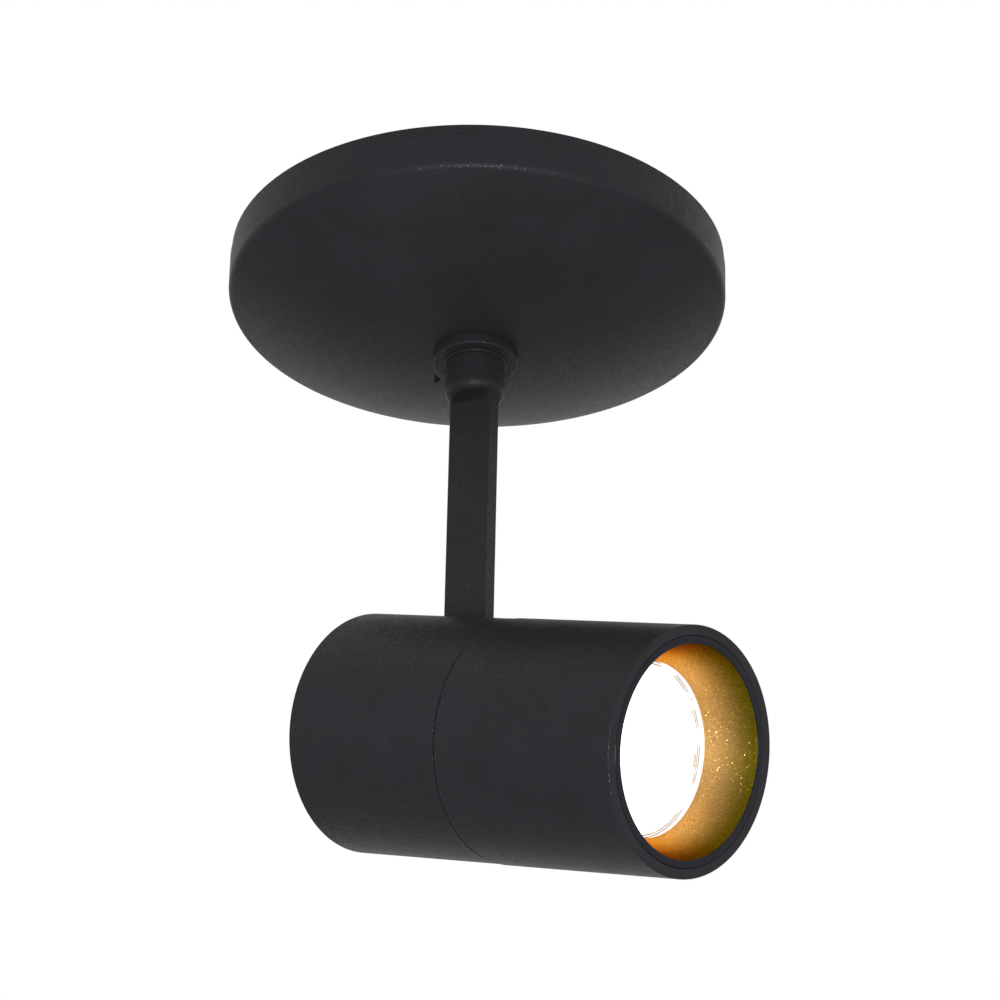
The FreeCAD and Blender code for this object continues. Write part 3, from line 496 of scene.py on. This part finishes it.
@dataclass(frozen=True)
class SpunFinish(Finish):
    """A turned metal finish, with fine tool lines round the head's axis. Lengths in metres."""

    pitch: float = 0.0003
    line_depth: float = 2e-6

    def draw(self, sheet: Sheet, shader: Node) -> None:
        """The grain, and lines of height sin(2 pi (reach + radius) / pitch)."""
        where, _ = self.base(sheet, shader)
        place = head_place(sheet, where)
        turns = sheet.maths("DIVIDE", sheet.maths("ADD", place.outputs["Reach"],
                                                  place.outputs["Radius"]), self.pitch)
        wave = sheet.maths("SINE", sheet.maths("MULTIPLY", turns, 2.0 * math.pi))
        sheet.relief(shader, wave, self.line_depth)


@dataclass(frozen=True)
class GoldConePaintedLight(Finish):
    """Gold anodised cone: satin, with flakes, its colour holding painted lamp light: bright sand
    near the lamp at its throat, fading to painted shade, dark olive, at its mouth.

    Its throat and mouth are given by their reach along the head's axis, in metres.
    """

    throat: float = 0.0577
    mouth: float = 0.07025

    def share(self, sheet: Sheet, where: Socket, grain: Node) -> Socket:
        """How far the painted lamp light has faded to the painted shade: the reach from throat to
        mouth.
        """
        return sheet.ramp(head_place(sheet, where).outputs["Reach"], self.throat, self.mouth)


@dataclass(frozen=True)
class LitFacets(Finish):
    """Reflector of the lit lamp: facets that glow, dimmer ones and fine rings at the rim.

    Attributes:
        field: Radius of the faceted bowl, in metres.
        fade: Shares of the field from which the dim facets show, and stop: past which not.
        chosen: Tones from which a facet is dim, and broken: drift from which a dim place shows.
        rings: Radii of the fine darker rings on the rim, in metres.
        ring_half: Half the width of a ring, and ring_core: the share of it that is whole.
    """

    field: float = 0.0200
    fade: Span = (0.982, 0.994)
    stop: Span = (1.002, 0.998)
    chosen: Span = (0.78, 0.94)
    broken: Span = (0.42, 0.54)
    rings: Span = (0.0203, 0.0209)
    ring_half: float = 0.0002
    ring_core: float = 0.4
    lit: Colour = (1.0, 0.98, 0.95)
    dim: Colour = (0.32, 0.16, 0.08)
    strength: float = 1.35

    def draw(self, sheet: Sheet, shader: Node) -> None:
        """Emission from the facet's tone and from the radius, over the mirror coat.

        A ring's mask is one where the radius is within ring_half of the ring's. The rings and
        the dim facets are broken up by the slow drift of the grain.

        Args:
            sheet: The material's sheet.
            shader: Its shader.
        """
        where, grain = self.base(sheet, shader)
        radius = head_place(sheet, where).outputs["Radius"]
        tone = sheet.add("ShaderNodeAttribute", attribute_name="facet_tone").outputs["Fac"]
        edge, inner = (sheet.ramp(radius, low * self.field, high * self.field)
                       for low, high in (self.fade, self.stop))
        broken = sheet.ramp(grain.outputs["Tone"], *self.broken)
        mask = sheet.maths("MULTIPLY", sheet.maths("MULTIPLY", edge, inner),
                           sheet.maths("MULTIPLY", sheet.ramp(tone, *self.chosen), broken))
        for ring in self.rings:
            off = sheet.maths("ABSOLUTE", sheet.maths("SUBTRACT", radius, ring))
            line = sheet.ramp(off, self.ring_half, self.ring_core * self.ring_half)
            mask = sheet.maths("MAXIMUM", mask, sheet.maths("MULTIPLY", line, broken))
        sheet.feed(shader.inputs["Emission Color"], sheet.blend(mask, self.lit, self.dim))
        sheet.feed(shader.inputs["Emission Strength"], self.strength)


@dataclass(frozen=True)
class ClearGlass(Finish):
    """Clear front glass with faint pressed waviness."""

    ior: float = 1.47

    def draw(self, sheet: Sheet, shader: Node) -> None:
        """The grain, over plain transmission."""
        self.base(sheet, shader)
        sheet.feed(shader.inputs["Transmission Weight"], 1.0)
        sheet.feed(shader.inputs["IOR"], self.ior)


@dataclass(frozen=True)
class Glow(Finish):
    """The lamp's own light source."""

    lit: Colour = (1.0, 0.93, 0.83)
    amber: Colour = (1.0, 0.86, 0.68)
    strength: float = 6.0

    def draw(self, sheet: Sheet, shader: Node) -> None:
        """Warm emission, a little uneven along the capsule."""
        share = self.share(sheet, *self.base(sheet, shader))
        sheet.feed(shader.inputs["Emission Color"], sheet.blend(share, self.lit, self.amber))
        sheet.feed(shader.inputs["Emission Strength"], self.strength)


@dataclass(frozen=True)
class MarkedCoat(Finish):
    """The canopy's powder coat, with the dark triangular mark sunk beside the hub.

    Attributes:
        corners: The mark's three corners in plan, in metres, anticlockwise.
        mark: Colour of the mark.
        dull: Roughness that it adds.
        depth: How far it sinks, in metres.
        edge: Distances inside its outline where it starts and is whole, in metres.
    """

    corners: tuple[Span, ...] = ()
    mark: Colour = (0.0012, 0.0012, 0.0013)
    dull: float = 0.4
    depth: float = 0.0003
    edge: Span = (-0.00005, 0.00015)

    def draw(self, sheet: Sheet, shader: Node) -> None:
        """The flaked coat, darkened and sunk where all the distances to the edges are positive.

        For an edge from p with unit normal n, the distance at q is n . q - n . p.

        Args:
            sheet: The material's sheet.
            shader: Its shader.
        """
        where, _ = self.base(sheet, shader)
        self.sparkle(sheet, shader, where)
        split = sheet.add("ShaderNodeSeparateXYZ", {0: where})
        inside = None
        for (x, y), (next_x, next_y) in zip(self.corners, self.corners[1:] + self.corners[:1]):
            length = math.hypot(next_x - x, next_y - y)
            across, up = -(next_y - y) / length, (next_x - x) / length
            value = sheet.maths("MULTIPLY_ADD", split.outputs[0], across, -(x * across + y * up))
            value = sheet.maths("MULTIPLY_ADD", split.outputs[1], up, value)
            inside = value if inside is None else sheet.maths("MINIMUM", inside, value)
        mask = sheet.ramp(inside, *self.edge)
        colour, gloss = shader.inputs["Base Color"], shader.inputs["Roughness"]
        sheet.feed(colour, sheet.blend(mask, feeding(colour), self.mark))
        sheet.feed(gloss, sheet.maths("MULTIPLY_ADD", mask, self.dull, feeding(gloss)))
        sheet.relief(shader, mask, self.depth, sunk=True)


POWDER = Finish("black_powder_coat", (0.0176, 0.015, 0.0184), (0.0208, 0.0182, 0.022),
                roughness=0.54, scale=2400.0, specular=0.12, flakes=0.6,
                flake_colour=(0.050, 0.048, 0.054), flake_scale=5400.0, flake_tilt=0.42)
BLACK_WASHER = Finish("black_washer", (0.02, 0.019, 0.022), (0.026, 0.025, 0.028), roughness=0.3,
                      spread=0.04, bump=2e-6, specular=0.25, slot="black_anodised")
ANODISED = SpunFinish("black_anodised", (0.005, 0.005, 0.008), (0.007, 0.007, 0.012),
                      roughness=0.15, spread=0.03, bump=2e-6, specular=0.16,
                      edge_tint=(0.8, 0.84, 1.0))
# The gold's first colour is painted lamp light near the throat, its second painted shade at the
# mouth.
GOLD = GoldConePaintedLight("gold_anodised", (0.56, 0.345, 0.125), (0.115, 0.09, 0.003), roughness=0.44,
                spread=0.06, metallic=1.0, scale=1800.0, edge_tint=(1.0, 0.36, 0.07), flakes=0.7,
                flake_scale=3200.0, flake_tilt=0.85)
RUBBER = Finish("black_rubber", (0.016, 0.016, 0.016), (0.022, 0.022, 0.021), roughness=0.72,
                spread=0.08, bump=2e-5, scale=1500.0)
PLATED = Finish("plated_steel", (0.62, 0.62, 0.60), (0.52, 0.53, 0.53), roughness=0.32,
                spread=0.08, metallic=1.0, bump=4e-6, scale=1200.0, drift=90.0)
BRIGHT = Finish("bright_steel", (0.78, 0.78, 0.77), (0.70, 0.70, 0.70), roughness=0.18,
                metallic=1.0, bump=2e-6)
WHITE_PLASTIC = Finish("white_plastic", (0.72, 0.72, 0.69), (0.66, 0.66, 0.63), roughness=0.46,
                       spread=0.06, scale=1300.0)
TERMINAL_PLASTIC = Finish("terminal_plastic", (0.60, 0.58, 0.52), (0.54, 0.52, 0.46),
                          roughness=0.42, spread=0.06, scale=1300.0)
BRASS = Finish("brass", (0.72, 0.53, 0.24), (0.62, 0.44, 0.19), roughness=0.28, spread=0.08,
               metallic=1.0, bump=4e-6)
INSULATION = Finish("lead_insulation", (0.55, 0.53, 0.49), (0.48, 0.46, 0.42), spread=0.08,
                    bump=1.2e-5, scale=1100.0)
ALUMINIUM = SpunFinish("bare_aluminium", (0.66, 0.67, 0.68), (0.58, 0.59, 0.60), roughness=0.34,
                       spread=0.06, metallic=1.0, bump=3e-6)
FRICTION = Finish("friction_plastic", (0.35, 0.34, 0.31), (0.28, 0.27, 0.25), spread=0.06)
CERAMIC = Finish("ceramic", (0.68, 0.64, 0.56), (0.60, 0.56, 0.48), roughness=0.62, spread=0.08,
                 bump=2e-5, scale=1600.0)
FACETS = LitFacets("reflector_glass", (0.26, 0.24, 0.24), (0.20, 0.18, 0.18), roughness=0.14,
                   spread=0.04, metallic=0.9, bump=2e-6, drift=160.0)
FRONT_GLASS = ClearGlass("front_glass", (0.97, 0.97, 0.96), (0.94, 0.95, 0.95), roughness=0.04,
                         spread=0.02, bump=4e-6, scale=500.0)
SOURCE = Glow("lamp_source", (0.95, 0.90, 0.82), (0.90, 0.84, 0.74), roughness=0.4)
PALE = Finish("pale_floor", (0.82, 0.82, 0.81), (0.80, 0.80, 0.79), roughness=0.8, bump=1e-4,
              scale=60.0, drift=2.0)


def dress(*finishes: Finish) -> None:
    """Give each CAD node the finish of its slot in the record, in place of its own material."""
    by_slot = {finish.name: finish for finish in finishes}
    for part in frame["record"]["subparts"]:
        piece = frame["nodes"][part["node"]]
        piece.data.materials.clear()
        piece.data.materials.append(by_slot[part["material_slot"]].material())
        log.info("dressed %s in %s", part["node"], part["material_slot"])


def settle(piece: Piece, body: str, node: str, finish: Finish) -> None:
    """Finish a new piece.

    Args:
        piece: The new piece.
        body: Body that carries it.
        node: CAD node that it replaces.
        finish: Its finish.
    """
    piece.data.materials.append(finish.material())
    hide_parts(node)
    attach(piece, body)
    log.info("built %s for %s on %s", piece.name, node, body)


# ---- new pieces
@dataclass
class Canopy:
    """Domed round cover over the mounting plate. Sizes in millimetres, angles in degrees.

    Attributes:
        lip: Height of the rows that belong to the cover's lip.
        hole_row: From the hole to the seat's next row, and dome_row: from its last to the dome.
    """

    radius: float = 63.5
    wall: float = 1.2
    side_depth: float = 10.8
    edge: float = 2.0
    dome_depth: float = 28.0
    cover_top: float = -2.75
    lip: float = 4.0
    lip_edges: Edges = (0.0, 0.25, 0.2, 0.0)
    hub_seat: float = 10.75
    hole: float = 6.8
    hole_row: float = 0.5
    dome_row: float = 0.4
    dome_steps: int = 30
    edge_steps: int = 14
    around: int = 288
    crease: float = 50.0
    mark_radius: float = 17.0
    mark_angle: float = 162.4
    mark_heading: float = 38.0
    mark_length: float = 1.9
    mark_width: float = 6.0

    def face(self, inset: float) -> np.ndarray:
        """Profile from the hub's hole out along the seat and the dome, round the edge and up.

        The dome is a sphere tangent to the edge's fillet: with c the fillet's distance from the
        axis, e its radius and h the dome's rise, the sphere's is (c^2 + h^2 - e^2) / 2(h - e).

        Args:
            inset: How far this face lies inside the cover's outer one.

        Returns:
            Rows of (height, radius).
        """
        rise, centre = self.dome_depth - self.side_depth, self.radius - self.edge
        outer = (centre ** 2 + rise ** 2 - self.edge ** 2) / (2.0 * (rise - self.edge))
        middle = outer - self.dome_depth
        sphere, edge = outer - inset, self.edge - inset
        seat = middle - math.sqrt(outer ** 2 - self.hub_seat ** 2) + inset
        flat = math.sqrt(sphere ** 2 - (middle - seat) ** 2)
        corner = np.array([centre, -self.side_depth])
        lean = corner - np.array([0.0, middle])
        lean /= np.linalg.norm(lean)
        start = math.degrees(math.asin(flat / sphere))
        end = math.degrees(math.asin((corner + lean * edge)[0] / sphere))
        dome = arc_rows(start - 90.0, end - 90.0, (0.0, middle), sphere, self.dome_steps)
        swing = math.degrees(math.atan2(lean[1], lean[0]))
        bend = arc_rows(swing, 0.0, tuple(corner), edge, self.edge_steps)
        ring = np.array([[self.hole, seat], [self.hole + self.hole_row, seat],
                         [flat - self.dome_row, seat]])
        return np.concatenate([ring, dome, bend])[:, ::-1]

    def profile(self) -> np.ndarray:
        """Closed (height, radius) profile of the cover: outer face, lip and inner face."""
        low, inner = self.cover_top - self.lip, self.radius - self.wall
        lip = rounded([(low, self.radius), (self.cover_top, self.radius),
                       (self.cover_top, inner), (low, inner)], self.lip_edges)
        return np.concatenate([self.face(0.0), lip, self.face(self.wall)[::-1]])

    def corners(self) -> tuple[Span, ...]:
        """The mark's corners in plan: a point and the two of a base, turned to its heading.

        Returns:
            Three (x, y) in metres, anticlockwise.
        """
        angle, heading = math.radians(self.mark_angle), math.radians(self.mark_heading)
        middle = self.mark_radius * np.array([math.cos(angle), math.sin(angle)])
        ahead = np.array([math.cos(heading), math.sin(heading)])
        half = ahead * self.mark_length / 2.0
        side = np.array([-ahead[1], ahead[0]]) * self.mark_width / 2.0
        shape = np.stack([middle + half, middle - half + side, middle - half - side]) * MM
        return tuple(tuple(corner) for corner in shape.tolist())

    def build(self) -> None:
        """Make the cover in its marked coat."""
        coat = MarkedCoat(**vars(POWDER) | {"name": "canopy_powder_coat", "slot": POWDER.name,
                                            "corners": self.corners()})
        cover = turned("domed_cover", self.profile(), Axis.UPRIGHT, self.around, self.crease)
        settle(cover, "base", "canopy_cover", coat)


@dataclass
class Hub:
    """Hub flange and thrust washer. Sizes in millimetres."""

    flange_top: float = -27.57
    flange_low: float = -30.57
    flange_bore: float = 6.6
    flange_radius: float = 10.75
    flange_edges: Edges = (0.15, 0.2, 0.4, 0.15)
    washer_top: float = -30.62
    washer_low: float = -31.12
    washer_bore: float = 4.6
    washer_radius: float = 7.95
    washer_edges: Edges = (0.08, 0.12, 0.12, 0.08)

    def build(self) -> None:
        """Make the flange and the washer."""
        for name, top, low, bore, radius, edges, body, node, finish in (
                ("hub_flange_ring", self.flange_top, self.flange_low, self.flange_bore,
                 self.flange_radius, self.flange_edges, "base", "hub_flange", POWDER),
                ("thrust_washer_ring", self.washer_top, self.washer_low, self.washer_bore,
                 self.washer_radius, self.washer_edges, "arm", "thrust_washer", BLACK_WASHER)):
            ring = rounded([(top, bore), (top, radius), (low, radius), (low, bore)], edges)
            settle(turned(name, ring, Axis.UPRIGHT), body, node, finish)


@dataclass
class Front:
    """Front casing, bezel ring and gold cone. Sizes in millimetres.

    Attributes:
        slack: Gap between pieces that seat on each other.
        cone_band: Straight band behind the cone's mouth.
    """

    front_radius: float = 29.75
    wall: float = 2.0
    seam: float = 16.2
    seam_gap: float = 0.4
    rim: float = 70.7
    lip_radius: float = 27.25
    lip: float = 1.5
    front_edges: Edges = (0.15, 0.45, 0.4, 0.25, 0.1, 0.1)
    slack: float = 0.05
    bezel_inner: float = 25.75
    bezel_flange: float = 1.3
    bezel_setback: float = 0.1
    bezel_lip: float = 0.3
    bezel_edges: Edges = (0.1, 0.1, 0.1, 0.0, 0.2, 0.12, 0.05, 0.0)
    cone_mouth: float = 25.3
    cone_band: float = 0.8
    cone_throat: float = 20.7
    cone_depth: float = 13.0
    cone_wall: float = 0.6
    cone_edges: Edges = (0.12, 0.1, 0.1, 0.15, 0.2)
    around: int = 224

    def front_profile(self) -> np.ndarray:
        """Closed (reach, radius) profile of the front casing, with its lip and seam edge."""
        start, bore = self.seam + self.seam_gap / 2.0, self.front_radius - self.wall
        inside = self.rim - self.lip
        return rounded([(start, bore), (start, self.front_radius), (self.rim, self.front_radius),
                        (self.rim, self.lip_radius), (inside, self.lip_radius), (inside, bore)],
                       self.front_edges, steps=6)

    def bezel_profile(self) -> np.ndarray:
        """Closed profile of the bezel ring: flange behind the casing's lip, thin lip in front."""
        front, flange = self.rim - self.bezel_setback, self.rim - self.lip - self.slack
        behind, back = front - self.bezel_lip, flange - self.bezel_flange
        outer, bore = self.lip_radius - self.slack, self.front_radius - self.wall - self.slack
        return rounded([(back, self.bezel_inner), (back, bore), (flange, bore), (flange, outer),
                        (front, outer), (front, self.cone_mouth), (behind, self.cone_mouth),
                        (behind, self.bezel_inner)], self.bezel_edges)

    def cone_profile(self) -> np.ndarray:
        """Closed profile of the thin cone, mouth to throat and back."""
        front = self.rim - self.bezel_setback - self.bezel_lip - self.slack
        throat, lip = self.rim - self.cone_depth, self.bezel_inner - self.slack
        return rounded([(front, self.cone_mouth), (front, lip), (front - self.cone_band, lip),
                        (throat, self.cone_throat + self.cone_wall), (throat, self.cone_throat)],
                       self.cone_edges)

    def build(self) -> None:
        """Make the three pieces."""
        for name, profile, node, finish in (
                ("front_barrel", self.front_profile(), "front_casing", POWDER),
                ("bezel_trim", self.bezel_profile(), "bezel_ring", ANODISED),
                ("gold_inner_cone", self.cone_profile(), "baffle_cone", GOLD)):
            settle(turned(name, profile, Axis.HEAD, self.around), "front", node, finish)


@dataclass
class Lamp:
    """Lit reflector lamp: its faceted bowl and its front glass. Sizes in millimetres.

    Attributes:
        bulge: Where the bowl's outside passes, as shares of its depth and of the lamp's radius.
        rim_rows: How far the last row of the bowl and the first of the rim lie in from the rim.
        glass_row: From the rows of the glass's faces to the corners of its edges.
        hollow: From the lamp's start to the bottom of the bowl, of radius throat.
        field: Radius of the faceted part of the bowl.
        facet_steps: Steps of the mesh along each facet.
        seed: Start of the random draw of the facets' tones.
    """

    start: float = 18.95
    face: float = 56.95
    radius: float = 25.0
    base_height: float = 6.0
    base_radius: float = 7.5
    base_edge: float = 0.3
    neck_step: float = 1.0
    bulge: Span = (0.42, 0.78)
    bowl_steps: int = 14
    rim_height: float = 3.0
    rim_rows: Span = (0.8, 0.7)
    rim_edges: Edges = (0.0, 0.3, 0.4, 0.2, 0.0)
    rim_wall: float = 1.6
    glass: float = 1.3
    setback: float = 0.1
    slack: float = 0.05
    glass_edges: Edges = (0.0, 0.15, 0.3, 0.0)
    glass_row: float = 0.1
    glass_core: float = 3.0
    glass_steps: int = 8
    glass_around: int = 128
    hollow: float = 8.0
    throat: float = 5.0
    field: float = 20.0
    facets: int = 40
    rows: int = 9
    facet_steps: int = 4
    crease: float = 12.0
    seed: int = 7

    def seat(self) -> float:
        """Reach of the step that the glass rests on."""
        return self.face - self.glass - self.setback - self.slack

    def outer_rows(self) -> np.ndarray:
        """Outside of the lamp, from the base block to the rim.

        The bowl's rows are (1 - t)^2 first + 2 t (1 - t) control + t^2 last, where the control
        point is placed so that the curve passes through the bulge at t = 1/2.

        Returns:
            Rows of (reach, radius), of which the first is on the axis.
        """
        neck, back = self.start + self.base_height, self.face - self.rim_height
        t = np.linspace(0.0, 1.0, self.bowl_steps)[:, None]
        bulge = np.array([neck + self.bulge[0] * (back - neck), self.bulge[1] * self.radius])
        first = np.array([neck, self.base_radius + self.neck_step])
        last = np.array([back, self.radius - self.rim_rows[0]])
        control = 2.0 * bulge - 0.5 * (first + last)
        bowl = (1 - t) ** 2 * first + 2 * t * (1 - t) * control + t ** 2 * last
        base = np.array([[self.start, 0.0], [self.start, self.base_radius - self.base_edge],
                         [self.start + self.base_edge, self.base_radius]])
        bore = self.radius - self.rim_wall
        rim = rounded([(back, self.radius - self.rim_rows[1]), (back, self.radius),
                       (self.face, self.radius), (self.face, bore), (self.seat(), bore)],
                      self.rim_edges, steps=4)
        return np.concatenate([base, bowl, rim])

    def bowl(self) -> Piece:
        """The reflector: smooth outside, and inside a bowl of flat facets.

        The inside is the same grid as a turned surface with as many steps round as facets, and
        radius = throat + (field - throat) * sqrt(share of the depth), so each cell is one facet:
        its steps lie on the chord between its two ends. A plain rim joins the field of facets to
        the glass's seat. Each facet's tone is a random number in the attribute facet_tone.

        Returns:
            The new object.
        """
        outside = self.outer_rows()
        around = self.facets * self.facet_steps
        outer = spun_points(outside[1:], Axis.HEAD, around)
        share = np.linspace(1.0, 0.0, self.rows + 1)
        back = self.start + self.hollow
        radius = self.throat + (self.field - self.throat) * np.sqrt(share)
        inside = np.stack([back + (self.seat() - back) * share, radius], 1)
        ends = spun_points(inside, Axis.HEAD, around)[:, ::self.facet_steps]
        cell, step = np.divmod(np.arange(around), self.facet_steps)
        step = step[None, :, None] / self.facet_steps
        inner = ends[:, cell] * (1.0 - step) + np.roll(ends, -1, 1)[:, cell] * step
        poles = POSE.pivot() + POSE.forward() * np.array([[outside[0, 0]], [back]])
        piece = shell("faceted_reflector", np.concatenate([outer, inner]), poles, self.crease)
        tones = np.random.default_rng(self.seed).random((self.rows, self.facets))
        value = np.zeros(len(piece.data.polygons), np.float32)
        value[:-2 * around].reshape(-1, around)[-self.rows:] = tones[:, cell]
        attribute = piece.data.attributes.new("facet_tone", "FLOAT", "FACE")
        attribute.data.foreach_set("value", value)
        return piece

    def glass_profile(self) -> np.ndarray:
        """Profile of the front glass, a flat disc with rounded edges, from pole to pole.

        Returns:
            Rows of (reach, radius), the first and the last on the axis.
        """
        front, edge = self.face - self.setback, self.radius - self.rim_wall - self.slack
        back, (_, back_edge, front_edge, _) = front - self.glass, self.glass_edges
        low, high = edge - 2.0 * back_edge, edge - 2.0 * front_edge
        rim = rounded([(back, low), (back, edge), (front, edge), (front, high)],
                      self.glass_edges, steps=3)[1:-1]
        core, row, steps = self.glass_core, self.glass_row, self.glass_steps
        return np.concatenate([
            [[back, 0.0]], np.linspace((back, core), (back, low - row), steps), rim,
            np.linspace((front, high - row), (front, core), steps), [[front, 0.0]]])

    def build(self) -> None:
        """Make the bowl and the glass."""
        settle(self.bowl(), "head", "lamp_reflector", FACETS)
        glass = turned("front_glass_disc", self.glass_profile(), Axis.HEAD, self.glass_around)
        settle(glass, "head", "lamp_glass", FRONT_GLASS)


# ---- studio
@dataclass(frozen=True)
class Softbox:
    """Square area light, aimed at a point. Lengths in metres, power in watts."""

    name: str
    place: Place
    aim: Place
    side: float
    power: float


@dataclass
class Studio:
    """Camera, world, lights and floor. Lengths in metres, angles in degrees."""

    camera_place: Place = (0.643147, -0.814336, -0.653968)
    camera_azimuth: float = 127.913
    camera_elevation: float = 29.371
    camera_roll: float = 1.275
    camera_clip: Span = (0.05, 60.0)
    sensor_width: float = 36.0      # millimetres
    focal_pixels: float = 4767.474
    image_pixels: float = 1000.0
    floor_level: float = -1.6
    floor_half: float = 4.0
    sky: Colour = (0.95, 0.97, 1.0)
    sky_strength: float = 0.22
    softboxes: tuple[Softbox, ...] = (
        Softbox("low_softbox", (0.74, -1.02, -0.90), (0.0, 0.0, -0.06), 0.34, 17.0),
        Softbox("side_softbox", (1.22, -0.27, -0.80), (0.0, 0.0, -0.02), 0.16, 2.1),
        Softbox("under_softbox", (0.0, 0.0, -1.5), (0.0, 0.0, 0.0), 2.0, 8.0))
    lamp_reach: float = 0.0573
    lamp_disk: float = 0.036
    lamp_power: float = 0.003
    lamp_colour: Colour = (1.0, 0.80, 0.55)

    def camera(self) -> None:
        """Camera at the photograph's viewing angle.

        From looking straight down it is rolled, tipped up by its elevation past the level, where
        it looks along Y, and turned about the upright to its azimuth, which is counted from X.
        """
        data = bpy.data.cameras.new("view_camera")
        data.sensor_width = self.sensor_width
        data.lens = self.focal_pixels * self.sensor_width / self.image_pixels
        data.clip_start, data.clip_end = self.camera_clip
        place = Matrix.Translation(self.camera_place)
        for angle, axis in ((self.camera_azimuth - 90.0, "Z"), (self.camera_elevation + 90.0, "X"),
                            (self.camera_roll, "Z")):
            place = place @ Matrix.Rotation(math.radians(angle), 4, axis)
        camera = linked("view_camera", data)
        camera.matrix_world = place
        bpy.context.scene.camera = camera

    def world(self) -> None:
        """White to the camera, to gloss and through glass; soft grey as light."""
        world = bpy.data.worlds.new("pale_studio")
        world.use_nodes = True
        world.node_tree.nodes.clear()
        sheet = Sheet(world.node_tree)
        path = sheet.add("ShaderNodeLightPath")
        seen = sheet.maths("MAXIMUM", path.outputs["Is Camera Ray"],
                           sheet.maths("MAXIMUM", path.outputs["Is Glossy Ray"],
                                       path.outputs["Is Transmission Ray"]))
        light = sheet.add("ShaderNodeBackground", {"Color": (*self.sky, 1.0),
                                                   "Strength": self.sky_strength})
        white = sheet.add("ShaderNodeBackground", {"Color": (1.0, 1.0, 1.0, 1.0), "Strength": 1.0})
        mix = sheet.add("ShaderNodeMixShader", {0: seen, 1: light.outputs[0], 2: white.outputs[0]})
        sheet.add("ShaderNodeOutputWorld", {"Surface": mix.outputs[0]})
        bpy.context.scene.world = world

    def area_light(self, name: str, shape: str, size: float, power: float, place: Vector,
                   way: Vector) -> Piece:
        """Area light of a size and power at a place, shining along a way."""
        data = bpy.data.lights.new(name, "AREA")
        data.shape, data.size, data.energy = shape, size, power
        lamp = linked(name, data)
        turn = way.to_track_quat("-Z", "Y").to_matrix().to_4x4()
        lamp.matrix_world = Matrix.Translation(place) @ turn
        return lamp

    def floor(self) -> None:
        """Plain pale floor, far below the hanging light, that keeps its shadow."""
        half, level = self.floor_half, self.floor_level
        mesh = bpy.data.meshes.new("pale_floor")
        mesh.from_pydata([(-half, -half, level), (half, -half, level), (half, half, level),
                          (-half, half, level)], [], [(0, 1, 2, 3)])
        floor = linked("pale_floor", mesh)
        mesh.materials.append(PALE.material())

    def lamp_light(self) -> None:
        """The lit lamp's own light, just in front of its glass, riding with the head."""
        place, way = POSE.pivot() * MM + POSE.forward() * self.lamp_reach, POSE.forward()
        lamp = self.area_light("lamp_light", "DISK", self.lamp_disk, self.lamp_power,
                               Vector(place), Vector(way))
        lamp.data.color = self.lamp_colour
        lamp.visible_camera = False
        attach(lamp, "head")

    def build(self) -> None:
        """Set the stage and the view."""
        self.camera()
        self.world()
        self.floor()
        for box in self.softboxes:
            place = Vector(box.place)
            self.area_light(box.name, "SQUARE", box.side, box.power, place,
                            Vector(box.aim) - place)
        self.lamp_light()
        bpy.context.scene.view_settings.view_transform = "Standard"


def main() -> None:
    """Build the studio, dress the CAD nodes and make the new pieces."""
    logging.basicConfig(level=logging.INFO, format="%(message)s")
    Studio().build()
    dress(POWDER, ANODISED, GOLD, RUBBER, PLATED, BRIGHT, WHITE_PLASTIC, TERMINAL_PLASTIC, BRASS,
          INSULATION, ALUMINIUM, FRICTION, CERAMIC, FACETS, FRONT_GLASS, SOURCE)
    for part in (Canopy(), Hub(), Front(), Lamp()):
        part.build()
    log.info("boxes written")


if __name__ == "__main__":
    main()
